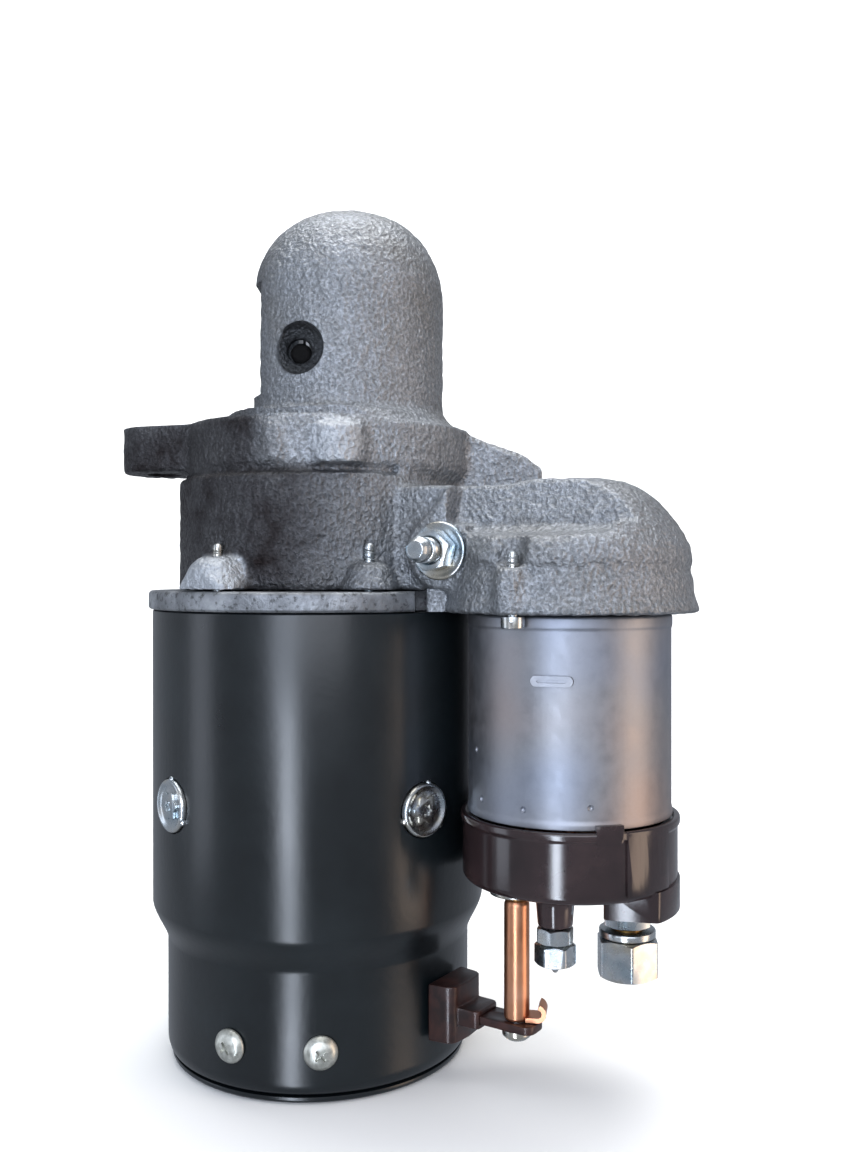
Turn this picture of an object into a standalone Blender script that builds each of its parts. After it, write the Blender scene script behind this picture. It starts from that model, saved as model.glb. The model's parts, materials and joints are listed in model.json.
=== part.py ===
# Heavy starter motor with a piggyback solenoid, standing on its rear end face.
# Metres, +Z towards the nose, -Y the front, +X towards the solenoid.
# The armature turns about the Z axis and the origin is the centre of the rear face.

import math

import bmesh
import bpy
from mathutils import Matrix

GAP = 0.0003                 # between pieces that touch on the real motor
RUNNING_GAP = 0.0004         # between a turning piece and what carries it
BIG_SIDES = 32               # sides of the large turned pieces
FRAME_SIDES = 40
MID_SIDES = 18
BOLT_SIDES = 12
SMALL_SIDES = 10
HARD_BOOLEANS = {"drive_end_housing"}  # where the exact solver leaves open edges

# Field frame
FRAME_RADIUS = 0.05715       # a 4.5 inch frame
FRAME_WALL = 0.0060
FRAME_TOP = 0.1506
SHOULDER_TOP = 0.0530
SHOULDER_BOTTOM = 0.0390
REAR_RADIUS = 0.0519
REAR_WALL = 0.0045
RIM_HEIGHT = 0.0020          # the rear end frame's rim under the field frame
POLE_HEIGHT = 0.0888
POLE_ANGLES = [math.radians(-49.5 + 90 * i) for i in range(4)]
POLE_LENGTH = 0.0440
POLE_RECESS = 0.0089         # radius of the flat recess round a pole screw
POLE_SCREW_HOLE = 0.0043
POLE_SCREW_RADIUS = 0.0040
WINDING_OUTER = 0.0505
WINDING_BOTTOM = 0.0600
WINDING_TOP = 0.1176
BOLT_ANGLES = [math.radians(-94.5), math.radians(85.5)]
BOLT_CIRCLE = 0.0410
BOLT_RADIUS = 0.0026
BOLT_TOP = 0.1568

# Brush gear
BRUSH_SCREW_HEIGHT = 0.0165
BRUSH_SCREW_ANGLES = [math.radians(-83.9), math.radians(-116.2),
                      math.radians(96.1), math.radians(63.8)]
BRUSH_ANGLES = POLE_ANGLES
COMMUTATOR_RADIUS = 0.0225
BRUSH_SCREW_HOLE = 0.0028
BRUSH_HALF = 0.0060
BRUSH_BOTTOM = 0.0215
BRUSH_TOP = 0.0375

# Armature and shaft
CORE_RADIUS = 0.0345
SHAFT_END_RADIUS = 0.00635
SHAFT_RADIUS = 0.0080
SPLINE_RADIUS = 0.0075
SHAFT_TOP = 0.2800
SLOTS = 14
SLOT_DEPTH = 0.0070
SLOT_HALF = 0.0020
CORE_BOTTOM = 0.0660
CORE_TOP = 0.1118
PINION_TEETH = 10
PINION_BOTTOM = 0.2066
PINION_TOP = 0.2270
PINION_TIP = 0.0180
PINION_ROOT = 0.0132
COLLAR_RADIUS = 0.0150       # the sleeve's rims on both sides of the shift groove
CLUTCH_RADIUS = 0.0195

# Housing
PLATE_RADIUS = 0.0585
PLATE_BOTTOM = 0.1509
PLATE_TOP = 0.1572
BODY_RADIUS = 0.0482
BODY_BOTTOM = 0.1575
FLANGE_BOTTOM = 0.1974
FLANGE_TOP = 0.2129
NOSE_X = 0.0103
NOSE_RADIUS = 0.0331
NOSE_SHOULDER = 0.2560
NOSE_TOP = 0.2885
EAR_REACH = 0.0540
EAR_RADIUS = 0.0148
EAR_ANGLES = [math.radians(180), math.radians(60)]
EAR_HOLE = 0.0065
CAVITY_RADIUS = 0.0225
BODY_BORE = 0.0415
PLATE_STUD_ANGLES = [math.radians(-125), math.radians(-66)]
PLATE_STUD_CIRCLE = 0.0490
PLATE_STUD_RADIUS = 0.0016
PLATE_STUD_TOP = 0.1722
PLATE_STUD_HOLE = 0.0020
STUD_BOSS_TOP = 0.1672
WINDOW_BOTTOM = 0.2235       # the pinion's window in the nose
PORT_PLACE = (-0.0043, 0, 0.2364)  # the oil port in the nose's front
BUSH_BOTTOM = 0.2640         # the nose bush
BUSH_TOP = 0.2812
BUSH_OUTER = 0.0095

# Solenoid
SOLENOID_X = 0.0828
SOLENOID_Y = -0.0400
SOLENOID_ANGLE = math.atan2(SOLENOID_Y, SOLENOID_X)
SOLENOID_REACH = math.hypot(SOLENOID_X, SOLENOID_Y)
CAN_RADIUS = 0.0320
CAN_BOTTOM = 0.0886
CAN_TOP = 0.1503
LIP_RADIUS = 0.0402
HOOD_RADIUS = 0.0385
HOOD_BOTTOM = 0.1506
LIP_TOP = 0.1571
HOOD_TOP = 0.1920
HOOD_BORE = 0.0290
HOOD_CEILING = 0.1875
CAP_RADIUS = 0.0343
CAP_BOTTOM = 0.0672
CAP_FLOOR = 0.0732
PLUNGER_RADIUS = 0.0108
SCREW_RING = 0.0362          # the solenoid screws' circle
SCREW_TURNS = [math.radians(-97.8), math.radians(82.2)]
SCREW_RADIUS = 0.0021
STUD_HEAD_TOP = CAP_FLOOR + 0.0025
BATTERY_XY = (0.1005, -0.0440)
MOTOR_XY = (0.0660, -0.0440)
SWITCH_XY = (0.0762, -0.0600)
BATTERY_RADIUS = 0.0050
MOTOR_RADIUS = 0.0045
SWITCH_RADIUS = 0.0025
STUD_CLEARANCE = 0.0003
CAP_BLOCK_BOTTOM = 0.0600    # the raised block round the battery stud

# Shift lever: its pivot lies between the two axes
PIVOT_REACH = 0.0600
PIVOT_HEIGHT = 0.1697
PIVOT_FACE = 0.0255
PIVOT_BOSS_RISE = 0.0020
PIVOT_BOSS_RADIUS = 0.0118
PIVOT_BOLT_RADIUS = 0.0038
PIVOT_HOLE = 0.0043
PIVOT_SEAT = PIVOT_FACE + PIVOT_BOSS_RISE + GAP
PIVOT_NUT_FLATS = 0.0125
COLLAR_ARM = PIVOT_REACH
PLUNGER_ARM = SOLENOID_REACH - PIVOT_REACH
LEVER_REST = math.radians(5.0)
GROOVE_HEIGHT = PIVOT_HEIGHT - COLLAR_ARM * math.sin(LEVER_REST)
EYE_HEIGHT = PIVOT_HEIGHT + PLUNGER_ARM * math.sin(LEVER_REST)

# Field terminal
TERMINAL_ANGLE = math.atan2(MOTOR_XY[1], MOTOR_XY[0])
TERMINAL_REACH = math.hypot(*MOTOR_XY)
STRAP_BOTTOM = 0.0212
STRAP_TOP = 0.0236


# ---- helpers

def clear_scene():
    for obj in list(bpy.data.objects):
        bpy.data.objects.remove(obj, do_unlink=True)


def finish(name, colour, roughness, metallic):
    """A plain material for one kind of surface."""
    made = bpy.data.materials.new(name)
    made.use_nodes = True
    shader = made.node_tree.nodes["Principled BSDF"]
    shader.inputs["Base Color"].default_value = (*colour, 1)
    shader.inputs["Roughness"].default_value = roughness
    shader.inputs["Metallic"].default_value = metallic
    made.diffuse_color = (*colour, 1)
    return made


def place(name, bm, material, location=(0, 0, 0), rotation=(0, 0, 0), parent=None):
    """Turns a bmesh into an object at its place."""
    bmesh.ops.recalc_face_normals(bm, faces=bm.faces[:])
    mesh = bpy.data.meshes.new(name)
    bm.to_mesh(mesh)
    bm.free()
    mesh.shade_smooth()
    mesh.set_sharp_from_angle(angle=math.radians(35))
    if material:
        mesh.materials.append(material)
    obj = bpy.data.objects.new(name, mesh)
    bpy.context.scene.collection.objects.link(obj)
    obj.location = location
    obj.rotation_euler = rotation
    obj.parent = parent
    return obj


def axis_empty(name, location, turn=0.0):
    empty = bpy.data.objects.new(name, None)
    bpy.context.scene.collection.objects.link(empty)
    empty.location = location
    empty.rotation_euler = (0, 0, turn)
    return empty


def combine(target, operation, bm, location=(0, 0, 0), rotation=(0, 0, 0), parent=None):
    """Adds or cuts a helper shape with a Boolean modifier."""
    helper = place(target.name + "_helper", bm, None, location, rotation, parent)
    helper.hide_render = True
    helper.display_type = "WIRE"
    modifier = target.modifiers.new(operation.title(), "BOOLEAN")
    modifier.operation = operation
    modifier.object = helper
    if target.name in HARD_BOOLEANS:
        modifier.solver = "MANIFOLD"


def cut(target, bm, location=(0, 0, 0), rotation=(0, 0, 0), parent=None):
    combine(target, "DIFFERENCE", bm, location, rotation, parent)


def add(target, bm, location=(0, 0, 0), rotation=(0, 0, 0), parent=None):
    combine(target, "UNION", bm, location, rotation, parent)


def lathe(profile, sides=BIG_SIDES):
    """Turns a closed outline of (radius, height) points about Z."""
    bm = bmesh.new()
    rings = []
    for radius, height in profile:
        count = sides if radius > 0 else 1
        turns = [2 * math.pi * i / count for i in range(count)]
        rings.append([bm.verts.new((radius * math.cos(a), radius * math.sin(a), height)) for a in turns])
    for ring, after in zip(rings, rings[1:] + rings[:1]):
        if len(ring) == 1 and len(after) == 1:
            continue
        for i in range(sides):
            pairs = [(ring, i), (ring, i + 1), (after, i + 1), (after, i)]
            corners = [loop[index % len(loop)] for loop, index in pairs]
            bm.faces.new(list(dict.fromkeys(corners)))
    return bm


def cylinder(radius, bottom, top, sides=MID_SIDES):
    return lathe([(0, bottom), (radius, bottom), (radius, top), (0, top)], sides)


def tube(inner, outer, bottom, top, sides=MID_SIDES):
    return lathe([(inner, bottom), (outer, bottom), (outer, top), (inner, top)], sides)


def cone(low_radius, high_radius, bottom, top, sides=MID_SIDES):
    return lathe([(0, bottom), (low_radius, bottom), (high_radius, top), (0, top)], sides)


def prism(outline, bottom, top):
    """Extrudes a closed (x, y) outline."""
    bm = bmesh.new()
    lower = [bm.verts.new((x, y, bottom)) for x, y in outline]
    upper = [bm.verts.new((x, y, top)) for x, y in outline]
    bm.faces.new(lower)
    bm.faces.new(upper)
    for i in range(len(outline)):
        j = (i + 1) % len(outline)
        bm.faces.new((lower[i], lower[j], upper[j], upper[i]))
    return bm


def box(x_span, y_span, z_span):
    (x0, x1), (y0, y1) = x_span, y_span
    return prism([(x0, y0), (x1, y0), (x1, y1), (x0, y1)], *z_span)


def arc(radius, start, end, steps, centre=(0, 0)):
    """Points along an arc, both ends included."""
    turns = [start + (end - start) * i / steps for i in range(steps + 1)]
    return [(centre[0] + radius * math.cos(a), centre[1] + radius * math.sin(a)) for a in turns]


def sector(inner, outer, half_angle, bottom, top, steps=8):
    """A piece of a ring, centred on +X."""
    outline = arc(outer, -half_angle, half_angle, steps) + arc(inner, half_angle, -half_angle, steps)
    return prism(outline, bottom, top)


def hexagon(across_flats, bottom, top):
    return prism(arc(across_flats / math.sqrt(3), 0, math.radians(300), 5), bottom, top)


def turned(bm, matrix):
    bmesh.ops.transform(bm, matrix=matrix, verts=bm.verts[:])
    return bm


def islands(shapes):
    """Joins bmeshes that stand apart into one."""
    joined = bmesh.new()
    for shape in shapes:
        mesh = bpy.data.meshes.new("island")
        shape.to_mesh(mesh)
        shape.free()
        joined.from_mesh(mesh)
        bpy.data.meshes.remove(mesh)
    return joined


def about_z(angle):
    return Matrix.Rotation(angle, 4, "Z")


def along_x():
    """Lays a shape's +Z along +X."""
    return Matrix.Rotation(math.radians(90), 4, "Y")


def along_y():
    """Lays a shape's +Z along -Y, the front."""
    return Matrix.Rotation(math.radians(90), 4, "X")


def radial(angle, height):
    """Lays a shape's +Z outwards from the armature axis."""
    return Matrix.Translation((0, 0, height)) @ about_z(angle) @ along_x()


def at(x, y, z=0.0):
    return Matrix.Translation((x, y, z))


# ---- field frame and what it carries

def field_frame(paint):
    shoulder = []
    for i in range(6):
        share = i / 5
        blend = share * share * (3 - 2 * share)
        radius = REAR_RADIUS + (FRAME_RADIUS - REAR_RADIUS) * blend
        shoulder.append((radius, SHOULDER_BOTTOM + (SHOULDER_TOP - SHOULDER_BOTTOM) * share))
    bottom = RIM_HEIGHT + GAP
    rear_inner = REAR_RADIUS - REAR_WALL
    inner = FRAME_RADIUS - FRAME_WALL
    profile = [(REAR_RADIUS - 0.0020, bottom), (REAR_RADIUS - 0.0006, bottom + 0.0008)]
    profile += [(REAR_RADIUS, bottom + 0.0026)] + shoulder
    profile += [(FRAME_RADIUS, FRAME_TOP - 0.0004), (FRAME_RADIUS - 0.0004, FRAME_TOP),
                (inner, FRAME_TOP)]
    profile += [(inner, SHOULDER_TOP), (rear_inner, SHOULDER_BOTTOM), (rear_inner, bottom)]
    frame = place("field_frame", lathe(profile, FRAME_SIDES), paint)
    recess = [turned(cylinder(POLE_RECESS, 0.0547, 0.0620), radial(a, POLE_HEIGHT)) for a in POLE_ANGLES]
    cut(frame, islands(recess))
    bores = [turned(cylinder(POLE_SCREW_HOLE, 0.0480, 0.0600, SMALL_SIDES), radial(a, POLE_HEIGHT))
             for a in POLE_ANGLES]
    bores += [turned(cylinder(BRUSH_SCREW_HOLE, 0.0450, 0.0600, SMALL_SIDES),
                     radial(a, BRUSH_SCREW_HEIGHT))
              for a in BRUSH_SCREW_ANGLES]
    bores.append(turned(box((0.0440, 0.0600), (-0.0075, 0.0075), (0.0186, 0.0262)),
                        about_z(TERMINAL_ANGLE)))
    cut(frame, islands(bores))


def pole_shoe(number, angle, steel):
    """An arched iron block with wider tips next to the armature."""
    body_half = math.radians(24)
    tip_half = math.radians(37)
    outer = FRAME_RADIUS - FRAME_WALL - GAP
    outline = arc(outer, -body_half, body_half, 6)
    outline += [(0.0405 * math.cos(a), 0.0405 * math.sin(a)) for a in (body_half, tip_half)]
    outline += arc(0.0356, tip_half, -tip_half, 8)
    outline += [(0.0405 * math.cos(a), 0.0405 * math.sin(a)) for a in (-tip_half, -body_half)]
    half = POLE_LENGTH / 2
    shoe = place("pole_shoe_%d" % number, prism(outline, -half, half), steel, (0, 0, POLE_HEIGHT),
                 (0, 0, angle))
    bore = turned(cylinder(POLE_SCREW_HOLE, 0.0390, 0.0560, SMALL_SIDES), along_x())
    cut(shoe, bore, (0, 0, POLE_HEIGHT), (0, 0, angle))


def pole_screw(number, angle, zinc):
    """A large flat head in the frame's recess, with a raised rim and a drive socket."""
    profile = [(0, 0.0398), (POLE_SCREW_RADIUS, 0.0398), (POLE_SCREW_RADIUS, 0.0550), (0.0085, 0.0550),
               (0.0086, 0.0580)]
    profile += [(0.0078, 0.0586), (0.0068, 0.0578), (0.0042, 0.0578), (0.0034, 0.0572), (0, 0.0572)]
    place("pole_screw_%d" % number, lathe(profile, BOLT_SIDES), zinc, (0, 0, POLE_HEIGHT),
          (0, math.radians(90), angle))


def field_winding(copper):
    """Four coils round the pole shoes, joined by a strap and with a lead to the terminal."""
    half = POLE_LENGTH / 2
    strap = tube(0.0465, 0.0500, 0.0560, 0.0622)
    winding = place("field_winding", strap, copper)
    coils = [turned(sector(0.0413, WINDING_OUTER, math.radians(39.5), WINDING_BOTTOM, WINDING_TOP),
                    about_z(a))
             for a in POLE_ANGLES]
    add(winding, islands(coils))
    low = POLE_HEIGHT - half - 0.0008
    high = POLE_HEIGHT + half + 0.0008
    windows = [turned(sector(0.0380, 0.0530, math.radians(26), low, high), about_z(a))
               for a in POLE_ANGLES]
    cut(winding, islands(windows))
    lead = turned(box((0.0416, 0.0440), (-0.0040, 0.0040), (STRAP_TOP + GAP, 0.0610)),
                  about_z(TERMINAL_ANGLE))
    add(winding, lead)


def rear_end_frame(paint):
    """The closed end with the rear bearing's boss; the motor stands on its face."""
    inner = REAR_RADIUS - REAR_WALL - GAP
    profile = [(0, 0), (0.0498, 0), (0.0505, 0.0006), (0.0505, RIM_HEIGHT), (inner, RIM_HEIGHT)]
    profile += [(inner, 0.0070), (0.0140, 0.0070), (0.0125, 0.0185), (0.0098, 0.0185), (0.0098, 0.0038),
                (0, 0.0038)]
    end = place("rear_end_frame", lathe(profile), paint)
    heads = [turned(cylinder(0.0060, -0.0010, 0.0042, SMALL_SIDES), about_z(a) @ at(BOLT_CIRCLE, 0))
             for a in BOLT_ANGLES]
    cut(end, islands(heads))
    shanks = [turned(cylinder(0.0029, -0.0010, 0.0080, SMALL_SIDES), about_z(a) @ at(BOLT_CIRCLE, 0))
              for a in BOLT_ANGLES]
    cut(end, islands(shanks))


def through_bolt(number, angle, zinc):
    """A long bolt between the coils that pulls the rear end frame towards the centre plate."""
    profile = [(0, 0.0004), (0.0045, 0.0004), (0.0052, 0.0010), (0.0052, 0.0039), (BOLT_RADIUS, 0.0039)]
    profile += [(BOLT_RADIUS, BOLT_TOP), (0, BOLT_TOP)]
    bolt = lathe(profile, SMALL_SIDES)
    place("through_bolt_%d" % number, turned(bolt, at(BOLT_CIRCLE, 0)), zinc, (0, 0, 0), (0, 0, angle))


# ---- brush gear

def brush_plate(steel):
    """A dished ring with four brush boxes."""
    outer = REAR_RADIUS - REAR_WALL - GAP
    profile = [(0.0262, 0.0100), (outer, 0.0100), (outer, 0.0205), (outer - 0.0022, 0.0205)]
    profile += [(outer - 0.0022, 0.0118), (0.0262, 0.0118)]
    plate = place("brush_plate", lathe(profile), steel)
    low = 0.0110
    walls = [turned(box((0.0265, 0.0385), (-0.0083, 0.0083), (low, BRUSH_TOP + 0.0020)), about_z(a))
             for a in BRUSH_ANGLES]
    add(plate, islands(walls))
    rooms = [turned(box((0.0240, 0.0400), (-BRUSH_HALF - GAP, BRUSH_HALF + GAP),
                        (BRUSH_BOTTOM - GAP, BRUSH_TOP + GAP)),
                    about_z(a))
             for a in BRUSH_ANGLES]
    cut(plate, islands(rooms))
    holes = [turned(cylinder(BRUSH_SCREW_HOLE, 0.0430, 0.0500, SMALL_SIDES),
                    radial(a, BRUSH_SCREW_HEIGHT))
             for a in BRUSH_SCREW_ANGLES]
    holes += [turned(cylinder(0.0032, 0.0080, 0.0140, SMALL_SIDES), about_z(a) @ at(BOLT_CIRCLE, 0))
              for a in BOLT_ANGLES]
    cut(plate, islands(holes))


def brush(number, angle, carbon):
    inner = COMMUTATOR_RADIUS + RUNNING_GAP
    bm = box((inner, 0.0395), (-BRUSH_HALF, BRUSH_HALF), (BRUSH_BOTTOM, BRUSH_TOP))
    place("brush_%d" % number, bm, carbon, (0, 0, 0), (0, 0, angle))


def brush_screw(number, angle, zinc):
    """A domed head outside the frame."""
    seat = REAR_RADIUS + GAP
    profile = [(0, 0.0432), (0.0025, 0.0432), (0.0025, seat), (0.0053, seat), (0.0052, seat + 0.0008)]
    profile += [(0.0038, seat + 0.0020), (0.0016, seat + 0.0026), (0, seat + 0.0027)]
    bm = lathe(profile, SMALL_SIDES)
    place("brush_screw_%d" % number, bm, zinc, (0, 0, BRUSH_SCREW_HEIGHT), (0, math.radians(90), angle))


# ---- armature

def armature_shaft(steel, axis):
    profile = [(0, 0.0045), (0.0058, 0.0045), (SHAFT_END_RADIUS, 0.0050), (SHAFT_END_RADIUS, 0.0195)]
    profile += [(SHAFT_RADIUS, 0.0195), (SHAFT_RADIUS, 0.1480), (SPLINE_RADIUS, 0.1480),
                (SPLINE_RADIUS, 0.2460)]
    profile += [(SHAFT_END_RADIUS, 0.2460), (SHAFT_END_RADIUS, SHAFT_TOP - 0.0008), (0.0056, SHAFT_TOP),
                (0, SHAFT_TOP)]
    place("armature_shaft", lathe(profile, BOLT_SIDES), steel, parent=axis)


def slotted(radius, slots, depth, half_slot):
    """The outline of a slotted stack of laminations."""
    outline = []
    for i in range(slots):
        middle = 2 * math.pi * i / slots
        step = math.pi / slots
        mouth = half_slot / radius
        foot = half_slot / (radius - depth)
        outline += [((radius - depth) * math.cos(middle + s * foot),
                     (radius - depth) * math.sin(middle + s * foot))
                    for s in (-1, 1)]
        outline += arc(radius, middle + mouth, middle + 2 * step - mouth, 3)
    return outline


def armature_core(iron, axis):
    core = place("armature_core", prism(slotted(CORE_RADIUS, SLOTS, SLOT_DEPTH, SLOT_HALF), CORE_BOTTOM,
                                        CORE_TOP),
                 iron, parent=axis)
    cut(core, cylinder(SHAFT_RADIUS + GAP, 0.0600, 0.1200, BOLT_SIDES))


def armature_winding(copper, axis):
    """Bars in the slots, joined by the end turns at both ends of the core."""
    winding = place("armature_winding", tube(0.0150, 0.0300, 0.0470, CORE_BOTTOM - GAP, MID_SIDES),
                    copper,
                    parent=axis)
    bars = []
    for i in range(SLOTS):
        bar = box((0.0280, 0.0330), (-SLOT_HALF + GAP, SLOT_HALF - GAP), (0.0560, 0.1200))
        bars.append(turned(bar, about_z(2 * math.pi * i / SLOTS)))
    add(winding, islands(bars), parent=axis)
    add(winding, tube(0.0150, 0.0320, CORE_TOP + GAP, 0.1260, MID_SIDES), parent=axis)


def commutator(copper, axis):
    profile = [(SHAFT_RADIUS + GAP, 0.0205), (0.0215, 0.0205), (COMMUTATOR_RADIUS, 0.0215)]
    profile += [(COMMUTATOR_RADIUS, 0.0420), (0.0255, 0.0425), (0.0255, 0.0466),
                (SHAFT_RADIUS + GAP, 0.0466)]
    place("commutator", lathe(profile, MID_SIDES), copper, parent=axis)


def stop_ring(steel, axis):
    place("pinion_stop_ring", tube(SHAFT_END_RADIUS + GAP, 0.0115, 0.2468, 0.2508, BOLT_SIDES), steel,
          parent=axis)


# ---- drive

def gear_outline(teeth, root, tip):
    outline = []
    pitch = 2 * math.pi / teeth
    for i in range(teeth):
        middle = i * pitch
        for radius, share in ((root, -0.36), (tip, -0.15), (tip, 0.15), (root, 0.36)):
            angle = middle + share * pitch
            outline.append((radius * math.cos(angle), radius * math.sin(angle)))
    return outline


def drive_clutch(steel, axis):
    """The sleeve with the shift groove and the overrunning clutch's shell, sliding on the shaft."""
    bore = SPLINE_RADIUS + RUNNING_GAP
    groove = GROOVE_HEIGHT
    profile = [(bore, groove - 0.0067), (COLLAR_RADIUS, groove - 0.0067),
               (COLLAR_RADIUS, groove - 0.0044)]
    profile += [(0.0102, groove - 0.0044), (0.0102, groove + 0.0044), (COLLAR_RADIUS, groove + 0.0044)]
    profile += [(COLLAR_RADIUS, groove + 0.0066), (0.0112, groove + 0.0066), (0.0112, 0.1855)]
    profile += [(CLUTCH_RADIUS - 0.0010, 0.1855), (CLUTCH_RADIUS, 0.1870), (CLUTCH_RADIUS, 0.2050)]
    profile += [(0.0188, PINION_BOTTOM - 0.0006), (bore, PINION_BOTTOM - 0.0006)]
    place("drive_clutch", lathe(profile, MID_SIDES), steel, parent=axis)


def coil(radius, wire, turns, low, high, steps, sides):
    """A helix of round wire with flat closed ends."""
    bm = bmesh.new()
    count = turns * steps
    rings = []
    for i in range(count + 1):
        turn = 2 * math.pi * i / steps
        height = low + wire + (high - low - 2 * wire) * i / count
        ring = []
        for j in range(sides):
            phase = 2 * math.pi * j / sides
            reach = radius + wire * math.cos(phase)
            ring.append(bm.verts.new((reach * math.cos(turn), reach * math.sin(turn),
                                      height + wire * math.sin(phase))))
        rings.append(ring)
    for ring, after in zip(rings, rings[1:]):
        for j in range(sides):
            k = (j + 1) % sides
            bm.faces.new((ring[j], ring[k], after[k], after[j]))
    bm.faces.new(rings[0])
    bm.faces.new(rings[-1])
    return bm


def pinion(steel, axis):
    gear = place("pinion", prism(gear_outline(PINION_TEETH, PINION_ROOT, PINION_TIP), PINION_BOTTOM,
                                 PINION_TOP),
                 steel, parent=axis)
    cut(gear, cylinder(SPLINE_RADIUS + RUNNING_GAP, PINION_BOTTOM - 0.01, PINION_TOP + 0.01, BOLT_SIDES),
        parent=axis)


# ---- drive end housing

def centre_plate(metal):
    plate = place("centre_plate", tube(0.0108, PLATE_RADIUS, PLATE_BOTTOM, PLATE_TOP, FRAME_SIDES), metal)
    holes = [turned(cylinder(PLATE_STUD_HOLE, 0.1400, 0.1650, SMALL_SIDES),
                    about_z(a) @ at(PLATE_STUD_CIRCLE, 0))
             for a in PLATE_STUD_ANGLES]
    holes += [turned(cylinder(0.0031, 0.1400, 0.1650, SMALL_SIDES), about_z(a) @ at(BOLT_CIRCLE, 0))
              for a in BOLT_ANGLES]
    cut(plate, islands(holes))


def plate_stud(number, angle, zinc):
    """A thin stud in the plate; its end stands above the housing's boss."""
    bm = cylinder(PLATE_STUD_RADIUS, PLATE_BOTTOM + GAP, PLATE_STUD_TOP, SMALL_SIDES)
    place("plate_stud_%d" % number, turned(bm, at(PLATE_STUD_CIRCLE, 0)), zinc, rotation=(0, 0, angle))


def nose_shape():
    rounds = [(NOSE_RADIUS * math.cos(a), NOSE_SHOULDER + (NOSE_TOP - NOSE_SHOULDER) * math.sin(a))
              for a in [math.radians(90 * i / 8) for i in range(8)]]
    profile = [(0, FLANGE_BOTTOM + 0.005),
               (NOSE_RADIUS, FLANGE_BOTTOM + 0.005)] + rounds + [(0, NOSE_TOP)]
    return lathe(profile)


def ear_shape(angle):
    """A tapering arm of the mounting flange with a round end."""
    outline = arc(EAR_RADIUS, math.radians(-78), math.radians(78), 8, (EAR_REACH, 0))
    outline += [(0.0150, 0.0300), (0.0150, -0.0300)]
    return turned(prism(outline, FLANGE_BOTTOM, FLANGE_TOP), about_z(angle))


def hood_shape():
    """The solenoid's end of the casting, solid, turned about the solenoid axis."""
    profile = [(0, HOOD_BOTTOM), (LIP_RADIUS, HOOD_BOTTOM), (LIP_RADIUS, LIP_TOP), (HOOD_RADIUS, LIP_TOP)]
    profile += [(HOOD_RADIUS, 0.1680), (0.0372, 0.1760), (0.0335, 0.1835), (0.0275, 0.1890),
                (0.0200, HOOD_TOP)]
    return lathe(profile + [(0, HOOD_TOP)])


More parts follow.
